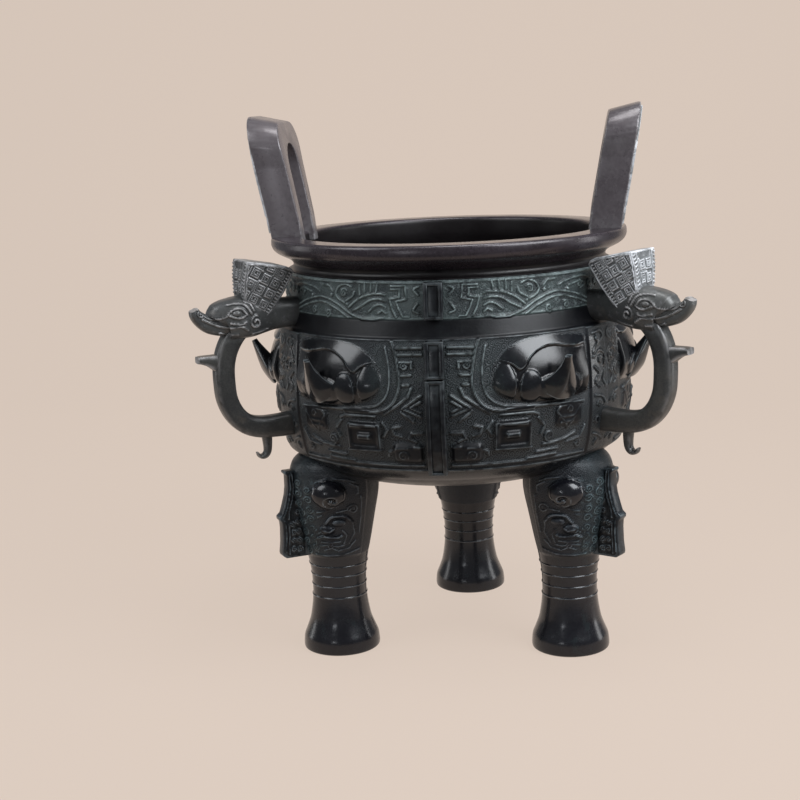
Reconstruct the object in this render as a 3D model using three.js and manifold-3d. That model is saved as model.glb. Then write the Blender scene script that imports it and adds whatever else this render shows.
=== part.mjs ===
// Round bronze ding: deep bowl with an everted rim, two standing ears, three animal-head
// handles and three waisted legs. It is one casting, so it is one closed solid.
// Millimetres, +Z up, front towards -Y. Azimuths are degrees from the front towards +X.
import * as THREE from 'three';
import { mergeVertices } from 'three/addons/utils/BufferGeometryUtils.js';
import Module from 'manifold-3d';

const wasm = await Module();
wasm.setup();

// Bowl
const rimRadius = 410;
const mouthRadius = 342;
const rimHeight = 955;
const rimEdge = 5;
const lipDepth = 30;
const neckRadius = 361;
const neckHeight = 894;
const friezeTop = 878;
const friezeBottom = 797;
const friezeRadiusTop = 376;
const friezeRadiusBottom = 382;
const maskTop = 757;
const maskBottom = 473;
const maskRadiusTop = 400;
const bellyRadius = 411;
const bellyHeight = 606;
const maskRadiusBottom = 389;
const turnRadius = 350;
const turnHeight = 440;
const baseHeight = 378;
const wallThickness = 13;
const bowlSegments = 36;

// Ears on the rim
const earHeight = 265;
const earInner = 323;
const earThickness = 72;
const earHalfBase = 101;
const earHalfTop = 119;
const earLean = 49;
const earCorner = 62;
const earHoleHalf = 58;
const earHoleTop = 213;
const earSink = 18;

// Legs
const legCentre = 309;
const footRadius = 89;
const footEdge = 5;
const waistRadius = 62.5;
const legTopRadius = 101;
const legTopBlend = 60;
const legMaskBottom = 233;
const legMaskStep = 3;
const waistHeight = 148;
const ringHeights = [130, 156, 182, 206];
const ringHalf = 4;
const ringDepth = 3;
const bossRadius = 16;
const legSegments = 12;
const legFlangeWidth = 30;
const legFlangeReach = 430;
const legFlangeTop = 435;

// Handles
const armDepth = 45;
const armWidth = 46;
const armFoot = 542;
const headTop = 842;
const snoutReach = 622;
const headWidth = 88;
const hookDepth = 15;
const crestFootSpread = 27;
const crestTopSpread = 52;

// Relief on the wall
const flangeWidth = 40;
const flangeHeight = 23;
const flangeGap = 3;
const lineWidth = 7;
const lineHeight = 4;
const hornProud = 27;
const hornRadius = 26;
const eyeHeight = 11;
const sink = 6;

const stations = [0, 120, 240];
const legAzimuths = [60, 180, 300];
const rad = THREE.MathUtils.degToRad;
const lerp = THREE.MathUtils.lerp;

function manifoldOf(positions, triangles) {
  const kept = triangles.filter(([a, b, c]) => a !== b && b !== c && c !== a);
  const at = (i) => new THREE.Vector3().fromArray(positions, 3 * i);
  const volume = kept.reduce((sum, [a, b, c]) => sum + at(a).dot(at(b).cross(at(c))), 0);
  const outward = volume > 0 ? kept : kept.map(([a, b, c]) => [a, c, b]);
  return new wasm.Manifold(new wasm.Mesh({
    numProp: 3,
    vertProperties: new Float32Array(positions),
    triVerts: new Uint32Array(outward.flat()),
  }));
}

function fromGeometry(geometry) {
  const bare = geometry.index ? geometry.toNonIndexed() : geometry;
  bare.deleteAttribute('normal');
  bare.deleteAttribute('uv');
  const merged = mergeVertices(bare, 1e-3);
  const index = merged.index.array;
  const triangles = [];
  for (let i = 0; i < index.length; i += 3) triangles.push([index[i], index[i + 1], index[i + 2]]);
  return manifoldOf(Array.from(merged.attributes.position.array), triangles);
}

// A closed body through rings of equal point count, with a flat cap at each end.
function loft(rings) {
  const n = rings[0].length;
  const last = (rings.length - 1) * n;
  const triangles = [];
  for (let i = 0; i < rings.length - 1; i++) {
    for (let j = 0; j < n; j++) {
      const a = i * n + j;
      const b = i * n + (j + 1) % n;
      triangles.push([a, b, b + n], [a, b + n, a + n]);
    }
  }
  for (let j = 1; j < n - 1; j++) {
    triangles.push([0, j + 1, j], [last, last + j, last + j + 1]);
  }
  return manifoldOf(rings.flat().flatMap((p) => p.toArray()), triangles);
}

function turned(profile, segments) {
  const points = profile.map(([r, z]) => new THREE.Vector2(r, z));
  return fromGeometry(new THREE.LatheGeometry(points, segments).rotateX(Math.PI / 2));
}

// A point at an azimuth, a distance from the vessel's axis, a height and a step sideways.
function place(azimuth, radius, height, side = 0) {
  const a = rad(azimuth);
  return new THREE.Vector3(
    radius * Math.sin(a) + side * Math.cos(a),
    -radius * Math.cos(a) + side * Math.sin(a),
    height,
  );
}

// Bowl wall: outside and inside profiles, radius and height, from the middle of the base up.
const outside = [
  [0, baseHeight],
  [0.45 * turnRadius, baseHeight + 11],
  [0.8 * turnRadius, lerp(baseHeight, turnHeight, 0.6)],
  [turnRadius, turnHeight],
  [maskRadiusBottom - 7, maskBottom - 6],
  [maskRadiusBottom + 2, maskBottom],
  [lerp(maskRadiusBottom, bellyRadius, 0.72), lerp(maskBottom, bellyHeight, 0.48)],
  [bellyRadius, bellyHeight],
  [lerp(bellyRadius, maskRadiusTop, 0.3), lerp(bellyHeight, maskTop, 0.42)],
  [maskRadiusTop, maskTop],
  [maskRadiusTop - 5, maskTop + 4],
  [friezeRadiusBottom + 2, friezeBottom],
  [friezeRadiusTop, friezeTop],
  [neckRadius + 3, friezeTop + 5],
  [neckRadius, neckHeight + 4],
  [lerp(neckRadius, rimRadius, 0.62), neckHeight + 20],
  [rimRadius - 3, rimHeight - lipDepth],
  [rimRadius, rimHeight - rimEdge],
  [rimRadius - rimEdge, rimHeight],
  [0, rimHeight],
];
const inside = [
  [0, baseHeight + wallThickness],
  [0.45 * turnRadius, baseHeight + wallThickness + 11],
  [0.79 * turnRadius, lerp(baseHeight, turnHeight, 0.6) + wallThickness + 1],
  [turnRadius - 6, turnHeight + wallThickness],
  [maskRadiusBottom - wallThickness - 6, maskBottom + 8],
  [lerp(maskRadiusBottom, bellyRadius, 0.72) - wallThickness, lerp(maskBottom, bellyHeight, 0.52)],
  [bellyRadius - wallThickness, bellyHeight],
  [maskRadiusTop - wallThickness, maskTop],
  [friezeRadiusBottom - wallThickness, friezeBottom],
  [friezeRadiusTop - wallThickness, friezeTop - wallThickness],
  [mouthRadius + 5, neckHeight - 6],
  [mouthRadius, neckHeight + 20],
  [mouthRadius, rimHeight - rimEdge],
  [mouthRadius + rimEdge, rimHeight],
  [mouthRadius + rimEdge, rimHeight + rimEdge],
  [0, rimHeight + rimEdge],
];

function wallRadius(height) {
  const i = outside.findIndex(([, z], k) => k > 0 && z >= height);
  const [r0, z0] = outside[i - 1];
  const [r1, z1] = outside[i];
  return lerp(r0, r1, (height - z0) / (z1 - z0));
}

function onWall(azimuth, height, proud) {
  return place(azimuth, wallRadius(height) + proud, height);
}

// Raised line on the wall through points of azimuth and height.
function wallLine(points, width = lineWidth, proud = lineHeight) {
  const flat = points.map(([a, z]) => new THREE.Vector2(rad(a) * wallRadius(z), z));
  const rings = flat.map((p, i) => {
    const before = flat[Math.max(i - 1, 0)];
    const after = flat[Math.min(i + 1, flat.length - 1)];
    const along = after.clone().sub(before).normalize();
    const across = new THREE.Vector2(-along.y, along.x).multiplyScalar(width / 2);
    const corner = (k, out) => {
      const q = p.clone().addScaledVector(across, k);
      return onWall(THREE.MathUtils.radToDeg(q.x / wallRadius(q.y)), q.y, out);
    };
    return [corner(-1, -sink), corner(1, -sink), corner(0.6, proud), corner(-0.6, proud)];
  });
  return loft(rings);
}

// Block on the wall between two azimuths and two heights, narrower at its top face.
function wallBlock(a0, a1, z0, z1, proud, taper = 0.12) {
  const row = (height, inset) => {
    const da = (a1 - a0) * inset;
    return [
      onWall(a0, height, -sink), onWall(a1, height, -sink),
      onWall(a1 - da, height, proud), onWall(a0 + da, height, proud),
    ];
  };
  return loft([row(z0, taper), row(z1, taper)]);
}

// Round bar through points of azimuth, height, distance off the wall and radius.
function wallBar(points, sides) {
  const centres = points.map(([a, z, proud]) => onWall(a, z, proud));
  const rings = centres.map((centre, i) => {
    const before = centres[Math.max(i - 1, 0)];
    const after = centres[Math.min(i + 1, centres.length - 1)];
    const along = after.clone().sub(before).normalize();
    const out = place(points[i][0], 1, 0);
    const side = out.clone().cross(along).normalize();
    const up = along.clone().cross(side);
    return Array.from({ length: sides }, (_, k) => {
      const t = (2 * Math.PI * (k + 0.5)) / sides;
      return centre.clone()
        .addScaledVector(side, points[i][3] * Math.cos(t))
        .addScaledVector(up, points[i][3] * Math.sin(t));
    });
  });
  return loft(rings);
}

// Half of one mask: the other half is its mirror about the flange.
function halfMask(centre, hand) {
  const at = (a) => centre + hand * a;
  const up = (f) => lerp(maskBottom, maskTop, f);
  const line = (points) => wallLine(points.map(([a, f]) => [at(a), up(f)]));
  const block = (a0, a1, f0, f1, proud, taper) => wallBlock(at(a0), at(a1), up(f0), up(f1), proud, taper);
  const horn = [
    [49, 0.92, -0.2, 12], [37, 0.92, 0.1, 20], [24, 0.86, 0.1, hornRadius],
    [20.5, 0.7, 0.1, hornRadius], [25, 0.58, 0.2, hornRadius], [32, 0.59, 0.6, 0.8 * hornRadius],
    [35, 0.7, 1.3, 0.5 * hornRadius], [37, 0.85, 2.15, 0.2 * hornRadius],
  ].map(([a, f, proud, r]) => [at(a), up(f), proud * hornProud, r]);
  return [
    wallBar(horn, 6),
    line([[12.5, 0.98], [11, 0.73], [13, 0.55], [19, 0.455], [47, 0.43]]),
    line([[4, 0.955], [12, 0.955]]),
    line([[4, 0.9], [11, 0.9]]),
    block(17.5, 29.5, 0.16, 0.39, eyeHeight, 0.14),
    block(21, 25.5, 0.24, 0.31, eyeHeight + 6, 0.2),
    block(38.5, 47.5, 0.3, 0.41, 0.7 * eyeHeight, 0.3),
    block(5, 12, 0.08, 0.22, eyeHeight, 0.25),
  ];
}

// Half of one frieze panel: a dragon with its head towards the flange.
function halfFrieze(centre, hand) {
  const at = (a) => centre + hand * a;
  const up = (f) => lerp(friezeBottom, friezeTop, f);
  const line = (points, width) => wallLine(points.map(([a, f]) => [at(a), up(f)]), width);
  return [
    line([[13, 0.88], [8.5, 0.86], [11, 0.5], [10, 0.14]]),
    line([[17, 0.11], [27, 0.15], [36, 0.53], [43, 0.58], [57, 0.26]], 1.3 * lineWidth),
    wallBlock(at(17.5), at(24), up(0.36), up(0.65), 1.5 * lineHeight, 0.25),
  ];
}

function flanges(centre) {
  const half = THREE.MathUtils.radToDeg(flangeWidth / 2 / bellyRadius);
  const spans = [
    [friezeBottom + flangeGap, friezeTop],
    [lerp(maskBottom, maskTop, 0.72), maskTop],
    [maskBottom - 4, lerp(maskBottom, maskTop, 0.72) - flangeGap],
  ];
  return spans.map(([z0, z1]) => wallBlock(centre - half, centre + half, z0, z1, flangeHeight, 0.04));
}

// Leg: radius and height, from the foot up.
function legProfile() {
  const smooth = [
    [0, footRadius - footEdge], [footEdge, footRadius], [0.15 * waistHeight, footRadius - 1],
    [0.365 * waistHeight, lerp(waistRadius, footRadius, 0.55)],
    [0.62 * waistHeight, lerp(waistRadius, footRadius, 0.15)], [waistHeight, waistRadius],
    [lerp(waistHeight, legMaskBottom, 0.35), waistRadius + 1.5], [legMaskBottom, waistRadius + 9.5],
  ];
  const radiusAt = (z) => {
    const i = smooth.findIndex(([h]) => h >= z);
    const [z0, r0] = smooth[i - 1];
    const [z1, r1] = smooth[i];
    return lerp(r0, r1, (z - z0) / (z1 - z0));
  };
  const rings = ringHeights.flatMap((z) => [
    [z - ringHalf, radiusAt(z - ringHalf)],
    [z, radiusAt(z) + ringDepth],
    [z + ringHalf, radiusAt(z + ringHalf)],
  ]);
  const first = ringHeights[0] - ringHalf;
  return [
    ...smooth.filter(([z]) => z < first),
    ...rings,
    [legMaskBottom, waistRadius + 9.5],
    [legMaskBottom + legMaskStep, waistRadius + 9.5 + legMaskStep],
    [lerp(legMaskBottom, turnHeight, 0.28), lerp(waistRadius, legTopRadius, 0.58)],
    [turnHeight - legTopBlend, legTopRadius], [turnHeight - 0.3 * legTopBlend, 0.99 * legTopRadius],
    [turnHeight + 0.14 * legTopBlend, 0.92 * legTopRadius],
    [turnHeight + 0.42 * legTopBlend, 0.74 * legTopRadius],
  ];
}

function leg(azimuth) {
  const rings = legProfile().map(([z, r]) => Array.from({ length: legSegments }, (_, k) => {
    const t = (2 * Math.PI * (k + 0.5)) / legSegments;
    return place(azimuth, legCentre + r * Math.cos(t), z, r * Math.sin(t));
  }));
  const up = (f) => lerp(legMaskBottom, legFlangeTop, f);
  const outline = [
    [-1, 1], [0.02, 1], [-0.02, 0.83], [0.02, 0.66], [0.17, 0.47], [0.12, 0.34], [0.12, 0.05],
    [0.07, 0], [-1, 0],
  ].map(([out, f]) => [legFlangeReach + out * (legFlangeReach - legCentre), up(f)]);
  const boss = (hand) => {
    const points = [[0.75, 34, 5], [0.83, 47, bossRadius], [0.72, 64, bossRadius], [0.57, 52, 8]];
    return loft(points.map(([f, turn, r]) => Array.from({ length: 5 }, (_, k) => {
      const t = (2 * Math.PI * k) / 5;
      const away = legTopRadius - 5 + 0.7 * r * Math.cos(t);
      const angle = rad(hand * turn) + (hand * r * Math.sin(t)) / legTopRadius;
      return place(azimuth, legCentre + away * Math.cos(angle), up(f), away * Math.sin(angle));
    })));
  };
  const eye = (hand) => {
    const row = (f) => [[0.7, 60], [1, 64], [1, 82], [0.7, 86]].map(([out, turn]) => {
      const away = out * (legTopRadius - 6);
      const angle = rad(hand * turn);
      return place(azimuth, legCentre + away * Math.cos(angle), up(f), away * Math.sin(angle));
    });
    return loft([row(0.39), row(0.48)]);
  };
  return wasm.Manifold.union([
    loft(rings),
    plate(azimuth, outline, () => legFlangeWidth / 2),
    boss(1), boss(-1), eye(1), eye(-1),
  ]);
}

// Plate in the plane through the axis at an azimuth: its outline is radius and height, and
// its half width may change with height.
function plate(azimuth, outline, halfWidth) {
  const shape = outline.map(([r, z]) => new THREE.Vector2(r, z));
  const fill = THREE.ShapeUtils.triangulateShape(shape, []).map((face) => {
    const turn = THREE.ShapeUtils.area(face.map((i) => shape[i]));
    return turn * THREE.ShapeUtils.area(shape) > 0 ? face : face.toReversed();
  });
  const n = outline.length;
  const points = [-1, 1].flatMap((side) => outline.map(
    ([r, z]) => place(azimuth, r, z, side * halfWidth(z)),
  ));
  const triangles = fill.map(([a, b, c]) => [a, b, c])
    .concat(fill.map(([a, b, c]) => [a + n, c + n, b + n]));
  for (let j = 0; j < n; j++) {
    const k = (j + 1) % n;
    triangles.push([k, j, j + n], [k, j + n, k + n]);
  }
  return manifoldOf(points.flatMap((p) => p.toArray()), triangles);
}

// Section across a path in the plane of a handle: a rectangle with its corners cut.
function section(azimuth, r, z, angle, depth, width) {
  const cut = 0.28;
  const corners = [
    [1, -1 + 2 * cut], [1, 1 - 2 * cut], [1 - 2 * cut, 1], [-1 + 2 * cut, 1],
    [-1, 1 - 2 * cut], [-1, -1 + 2 * cut], [-1 + 2 * cut, -1], [1 - 2 * cut, -1],
  ];
  return corners.map(([u, v]) => place(
    azimuth,
    r + (u * depth / 2) * Math.cos(angle),
    z + (u * depth / 2) * Math.sin(angle),
    v * width / 2,
  ));
}

// Body along a path of radius, height, depth and width in the plane of a handle.
function limb(azimuth, path) {
  return loft(path.map(([r, z, depth, width], i) => {
    const [r0, z0] = path[Math.max(i - 1, 0)];
    const [r1, z1] = path[Math.min(i + 1, path.length - 1)];
    return section(azimuth, r, z, Math.atan2(z1 - z0, r1 - r0) + Math.PI / 2, depth, width);
  }));
}

function handle(azimuth) {
  const out = (f) => lerp(maskRadiusTop, snoutReach, f);
  const up = (f) => lerp(armFoot, headTop, f);
  const bent = (rows) => rows.map(([f, g, depth, width]) => [out(f), up(g), depth, width]);
  const footing = (g, depth, width) => [wallRadius(up(g)) - sink, up(g), depth, width];
  const arm = limb(azimuth, [
    ...bent([
      [0.47, 0.79, armDepth, armWidth], [0.64, 0.65, armDepth, armWidth],
      [0.71, 0.48, armDepth, armWidth], [0.7, 0.27, armDepth, armWidth],
      [0.61, 0.11, armDepth, armWidth], [0.43, 0.01, 1.07 * armDepth, armWidth],
    ]),
    footing(0.01, 1.15 * armDepth, armWidth),
  ]);
  const head = limb(azimuth, [
    footing(0.85, 0.7 * headWidth, 0.6 * headWidth),
    ...bent([
      [0.2, 0.853, 0.86 * headWidth, 0.73 * headWidth], [0.45, 0.853, 1.04 * headWidth, headWidth],
      [0.67, 0.843, 1.04 * headWidth, headWidth], [0.76, 0.827, 0.84 * headWidth, 0.66 * headWidth],
      [0.85, 0.81, 0.52 * headWidth, 0.45 * headWidth], [0.93, 0.85, 0.39 * headWidth, 0.39 * headWidth],
      [0.98, 0.927, 0.2 * headWidth, 0.39 * headWidth],
    ]),
  ]);
  const crest = [
    [0.33, 0.77], [0.19, 0.9], [0.085, 1.02], [-0.01, 1.16], [0.07, 1.21], [0.23, 1.235],
    [0.475, 1.265], [0.5, 1.14], [0.51, 0.99],
  ].map(([f, g]) => [out(f), up(g)]);
  const foot = crest[0][1];
  const top = crest[6][1];
  const wedge = plate(azimuth, crest, (z) => lerp(
    crestFootSpread, crestTopSpread, (z - foot) / (top - foot),
  ));
  const hook = limb(azimuth, bent([
    [0.72, 0.555, hookDepth, 2 * hookDepth], [0.9, 0.557, hookDepth, 2 * hookDepth],
    [0.965, 0.557, 0.7 * hookDepth, 2 * hookDepth],
  ]));
  const spur = limb(azimuth, bent([
    [0.305, 0, 1.4 * hookDepth, 1.6 * hookDepth], [0.3, -0.17, 1.2 * hookDepth, 1.6 * hookDepth],
    [0.335, -0.215, 0.8 * hookDepth, 1.6 * hookDepth], [0.395, -0.195, 0.5 * hookDepth, 1.5 * hookDepth],
  ]));
  return wasm.Manifold.union([arm, head, wedge, hook, spur]);
}

function ear(hand) {
  const shape = new THREE.Shape();
  const side = (z) => lerp(earHalfBase, earHalfTop, z / earHeight);
  shape.moveTo(-side(-earSink), -earSink);
  shape.lineTo(-side(earHeight - earCorner), earHeight - earCorner);
  shape.quadraticCurveTo(-earHalfTop, earHeight, -earHalfTop + earCorner, earHeight);
  shape.lineTo(earHalfTop - earCorner, earHeight);
  shape.quadraticCurveTo(earHalfTop, earHeight, side(earHeight - earCorner), earHeight - earCorner);
  shape.lineTo(side(-earSink), -earSink);
  shape.lineTo(earHoleHalf, -earSink);
  shape.lineTo(earHoleHalf, earHoleTop - earHoleHalf);
  shape.absarc(0, earHoleTop - earHoleHalf, earHoleHalf, 0, Math.PI, false);
  shape.lineTo(-earHoleHalf, -earSink);
  shape.closePath();
  const bevel = 5;
  const slab = new THREE.ExtrudeGeometry(shape, {
    depth: earThickness - 2 * bevel, bevelEnabled: true, bevelThickness: bevel, bevelSize: bevel,
    bevelOffset: -bevel, bevelSegments: 1, steps: 1, curveSegments: 4,
  });
  const position = slab.attributes.position;
  for (let i = 0; i < position.count; i++) {
    const [y, z, x] = [position.getX(i), position.getY(i), position.getZ(i) + bevel];
    const leaned = earInner + x + (earLean * Math.max(z, 0)) / earHeight;
    position.setXYZ(i, hand * leaned, hand * y, rimHeight + z);
  }
  return fromGeometry(slab);
}

const relief = stations.flatMap((centre) => [
  ...flanges(centre),
  ...[1, -1].flatMap((hand) => [...halfMask(centre, hand), ...halfFrieze(centre, hand)]),
]);

const vessel = wasm.Manifold.union([
  turned(outside, bowlSegments),
  ...relief,
  ...legAzimuths.map(leg),
  ...legAzimuths.map(handle),
  ear(1),
  ear(-1),
]).subtract(turned(inside, bowlSegments));

function toMesh(solid, name, material) {
  const { vertProperties, triVerts } = solid.getMesh();
  const geometry = new THREE.BufferGeometry();
  geometry.setAttribute('position', new THREE.BufferAttribute(new Float32Array(vertProperties), 3));
  geometry.setIndex(new THREE.BufferAttribute(new Uint32Array(triVerts), 1));
  geometry.computeBoundingBox();
  const { min, max } = geometry.boundingBox;
  geometry.translate(-(min.x + max.x) / 2, -(min.y + max.y) / 2, -min.z);
  const faceted = geometry.toNonIndexed();
  faceted.computeVertexNormals();
  const mesh = new THREE.Mesh(faceted, material);
  mesh.name = name;
  return mesh;
}

const bronze = new THREE.MeshStandardMaterial({ color: 0x2f3a3b, roughness: 0.5, metalness: 0.85 });
const part = new THREE.Group();
part.name = 'ding';
part.add(toMesh(vessel, 'ding_vessel', bronze));

export default part;
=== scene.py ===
import math

import bmesh
import bpy
import numpy as np
from mathutils import Matrix, Vector


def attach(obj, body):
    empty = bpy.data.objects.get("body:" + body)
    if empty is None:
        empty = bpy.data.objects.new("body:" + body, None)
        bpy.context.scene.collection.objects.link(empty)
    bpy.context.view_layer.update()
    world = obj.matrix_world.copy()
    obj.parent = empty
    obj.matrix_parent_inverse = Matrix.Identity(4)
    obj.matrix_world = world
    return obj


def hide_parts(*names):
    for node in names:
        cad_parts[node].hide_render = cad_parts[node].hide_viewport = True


# Bronze ding: bowl with everted rim, two ears, three animal-head handles, three waisted legs.
# Metres, front towards -Y. Azimuths are degrees from the front towards +X, about the bowl's axis.

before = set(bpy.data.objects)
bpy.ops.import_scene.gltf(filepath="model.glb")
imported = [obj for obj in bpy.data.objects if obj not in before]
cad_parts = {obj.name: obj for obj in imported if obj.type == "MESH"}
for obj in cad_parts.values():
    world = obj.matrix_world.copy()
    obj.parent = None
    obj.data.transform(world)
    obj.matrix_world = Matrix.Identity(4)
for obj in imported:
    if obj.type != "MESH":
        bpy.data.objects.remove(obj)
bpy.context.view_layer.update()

axisY = -0.0978  # the bowl's axis, because the frame's origin is the middle of the whole box
axis = Vector((0, axisY, 0))
maskCentres = [0, 120, 240]
legAzimuths = [60, 180, 300]
mm = 0.001
arc = 7.07  # millimetres along the wall for one degree


def place(azimuth, radius, height, side=0.0):
    # millimetres in the bowl's own terms to a point in metres
    a = math.radians(azimuth)
    return Vector((
        (radius * math.sin(a) + side * math.cos(a)) * mm,
        (-radius * math.cos(a) + side * math.sin(a)) * mm + axisY,
        height * mm,
    ))


def smoothPath(points, steps):
    # a curve through the points, of any width of row
    p = np.array(points, dtype=float)
    p = np.vstack([2 * p[0] - p[1], p, 2 * p[-1] - p[-2]])
    out = []
    for i in range(1, len(p) - 2):
        for t in np.linspace(0, 1, steps, endpoint=False):
            out.append(0.5 * (
                2 * p[i] + (p[i + 1] - p[i - 1]) * t
                + (2 * p[i - 1] - 5 * p[i] + 4 * p[i + 1] - p[i + 2]) * t ** 2
                + (3 * p[i] - p[i - 1] - 3 * p[i + 1] + p[i + 2]) * t ** 3
            ))
    out.append(p[-2])
    return np.array(out)


def coilPath(centre, start, end, turns, first=0.0, steps=26):
    # a spiral from one radius to another, in the same units as its centre
    t = np.linspace(0, 1, steps)
    r = start + (end - start) * t
    a = math.radians(first) + 2 * math.pi * turns * t
    return np.stack([centre[0] + r * np.cos(a), centre[1] + r * np.sin(a)], axis=1)


# materials


def nodeMath(tree, operation, *values):
    node = tree.nodes.new("ShaderNodeMath")
    node.operation = operation
    for socket, value in zip(node.inputs, values):
        if isinstance(value, (int, float)):
            socket.default_value = value
        else:
            tree.links.new(value, socket)
    return node.outputs[0]


def nodeRamp(tree, value, low, high):
    node = tree.nodes.new("ShaderNodeMapRange")
    node.interpolation_type = "SMOOTHSTEP"
    node.inputs["From Min"].default_value = low
    node.inputs["From Max"].default_value = high
    tree.links.new(value, node.inputs["Value"])
    return node.outputs["Result"]


def nodeMix(tree, factor, a, b):
    node = tree.nodes.new("ShaderNodeMix")
    node.data_type = "RGBA"
    tree.links.new(factor, node.inputs["Factor"])
    for socket, value in ((node.inputs["A"], a), (node.inputs["B"], b)):
        if isinstance(value, tuple):
            socket.default_value = (*value, 1)
        else:
            tree.links.new(value, socket)
    return node.outputs["Result"]


def nodeNoise(tree, vector, scale, detail, roughness=0.55):
    node = tree.nodes.new("ShaderNodeTexNoise")
    node.inputs["Detail"].default_value = detail
    node.inputs["Roughness"].default_value = roughness
    tree.links.new(vector, node.inputs["Vector"])
    if isinstance(scale, (int, float)):
        node.inputs["Scale"].default_value = scale
    else:
        tree.links.new(scale, node.inputs["Scale"])
    return node.outputs["Fac"]


def newGroup(name, inputs, outputs):
    tree = bpy.data.node_groups.new(name, "ShaderNodeTree")
    for label, kind, value in inputs:
        socket = tree.interface.new_socket(label, in_out="INPUT", socket_type=kind)
        if value is not None:
            socket.default_value = value
    for label, kind in outputs:
        tree.interface.new_socket(label, in_out="OUTPUT", socket_type=kind)
    return tree, tree.nodes.new("NodeGroupInput").outputs, tree.nodes.new("NodeGroupOutput").inputs


patinaLook = {
    # scale, detail and roughness of each noise, then how the noises are shared out
    "broad": (7.0, 6, 0.55), "spots": (31.0, 7, 0.65), "grain": (240.0, 5, 0.6),
    "clouds": (0.65, 0.35), "cloudRange": (0.40, 0.62), "stainRange": (0.54, 0.68), "stainShare": 0.6,
    "roughness": (0.34, 0.12), "height": (0.5, 0.35),
}


def makeCastPatina():
    # mottled corrosion: broad clouds, stains and fine casting grain
    tree, given, out = newGroup("castPatina", [
        ("Vector", "NodeSocketVector", None), ("Dark", "NodeSocketColor", (0.01, 0.01, 0.01, 1)),
        ("Light", "NodeSocketColor", (0.1, 0.1, 0.1, 1)), ("Stain", "NodeSocketColor", (0.1, 0.1, 0.1, 1)),
        ("Scale", "NodeSocketFloat", 1.0),
    ], [("Color", "NodeSocketColor"), ("Roughness", "NodeSocketFloat"), ("Height", "NodeSocketFloat")])

    def noise(label):
        scale, detail, roughness = patinaLook[label]
        scale = nodeMath(tree, "MULTIPLY", given["Scale"], scale)
        return nodeNoise(tree, given["Vector"], scale, detail, roughness)

    def blend(a, b, label):
        shares = zip((a, b), patinaLook[label])
        return nodeMath(tree, "ADD", *[nodeMath(tree, "MULTIPLY", *pair) for pair in shares])

    broad, spots, grain = noise("broad"), noise("spots"), noise("grain")
    clouds = nodeRamp(tree, blend(broad, grain, "clouds"), *patinaLook["cloudRange"])
    base = nodeMix(tree, clouds, given["Dark"], given["Light"])
    stains = nodeRamp(tree, spots, *patinaLook["stainRange"])
    stains = nodeMath(tree, "MULTIPLY", stains, patinaLook["stainShare"])
    tree.links.new(nodeMix(tree, stains, base, given["Stain"]), out["Color"])
    tree.links.new(blend(spots, grain, "roughness"), out["Roughness"])
    tree.links.new(blend(spots, grain, "height"), out["Height"])
    return tree


edgeLook = {"noise": (55.0, 5), "uneven": (0.30, 0.62), "curve": (0.54, 0.72), "dirtShare": 0.75}


def makeRubbedEdges():
    # light where the relief stands out, as rubbed wear and as a painted highlight on the raised edges; dull
    # where dirt sits beside it
    tree, given, out = newGroup("rubbedEdgesAndSheen", [
        ("Curve", "NodeSocketFloat", 0.5), ("Base", "NodeSocketColor", (0.1, 0.1, 0.1, 1)),
        ("Rubbed", "NodeSocketColor", (0.2, 0.2, 0.2, 1)),
        ("Dirt", "NodeSocketColor", (0.02, 0.02, 0.02, 1)), ("Vector", "NodeSocketVector", None),
    ], [("Color", "NodeSocketColor"), ("Mask", "NodeSocketFloat")])
    uneven = nodeRamp(tree, nodeNoise(tree, given["Vector"], *edgeLook["noise"]), *edgeLook["uneven"])
    edge = nodeMath(tree, "MULTIPLY", nodeRamp(tree, given["Curve"], *edgeLook["curve"]), uneven)
    inward = nodeRamp(tree, nodeMath(tree, "SUBTRACT", 1.0, given["Curve"]), *edgeLook["curve"])
    inward = nodeMath(tree, "MULTIPLY", inward, edgeLook["dirtShare"])
    dirty = nodeMix(tree, inward, given["Base"], given["Dirt"])
    tree.links.new(nodeMix(tree, edge, dirty, given["Rubbed"]), out["Color"])
    tree.links.new(edge, out["Mask"])
    return tree


thunderLook = {"shift": 50.0, "phaseShift": 5.0, "line": (0.14, 0.32)}


def makeThunderLines():
    # spirals that repeat over a flat pattern position, in millimetres
    tree, given, out = newGroup("thunderLines", [
        ("Vector", "NodeSocketVector", None), ("Tile", "NodeSocketFloat", 18.0),
        ("Turns", "NodeSocketFloat", 2.5),
    ], [("Height", "NodeSocketFloat")])

    def do(operation, *values):
        return nodeMath(tree, operation, *values)

    split = tree.nodes.new("ShaderNodeSeparateXYZ")
    tree.links.new(given["Vector"], split.inputs[0])
    cell = [do("DIVIDE", split.outputs[label], given["Tile"]) for label in "XY"]
    x, y = [do("SUBTRACT", do("FRACT", do("ADD", value, thunderLook["shift"])), 0.5) for value in cell]
    reach = do("SQRT", do("ADD", do("MULTIPLY", x, x), do("MULTIPLY", y, y)))
    turn = do("DIVIDE", do("ARCTAN2", y, x), 2 * math.pi)
    phase = do("ADD", do("MULTIPLY", do("MULTIPLY", reach, 2.0), given["Turns"]), turn)
    wave = do("ABSOLUTE", do("SUBTRACT", do("FRACT", do("ADD", phase, thunderLook["phaseShift"])), 0.5))
    tree.links.new(nodeRamp(tree, wave, *thunderLook["line"]), out["Height"])
    return tree


castPatina = makeCastPatina()
rubbedEdgesAndSheen = makeRubbedEdges()
thunderLines = makeThunderLines()
surface = {"greenShare": 0.85, "greenScale": 2.6, "coatRoughness": 0.2, "bumpDistance": 0.0012}


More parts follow.
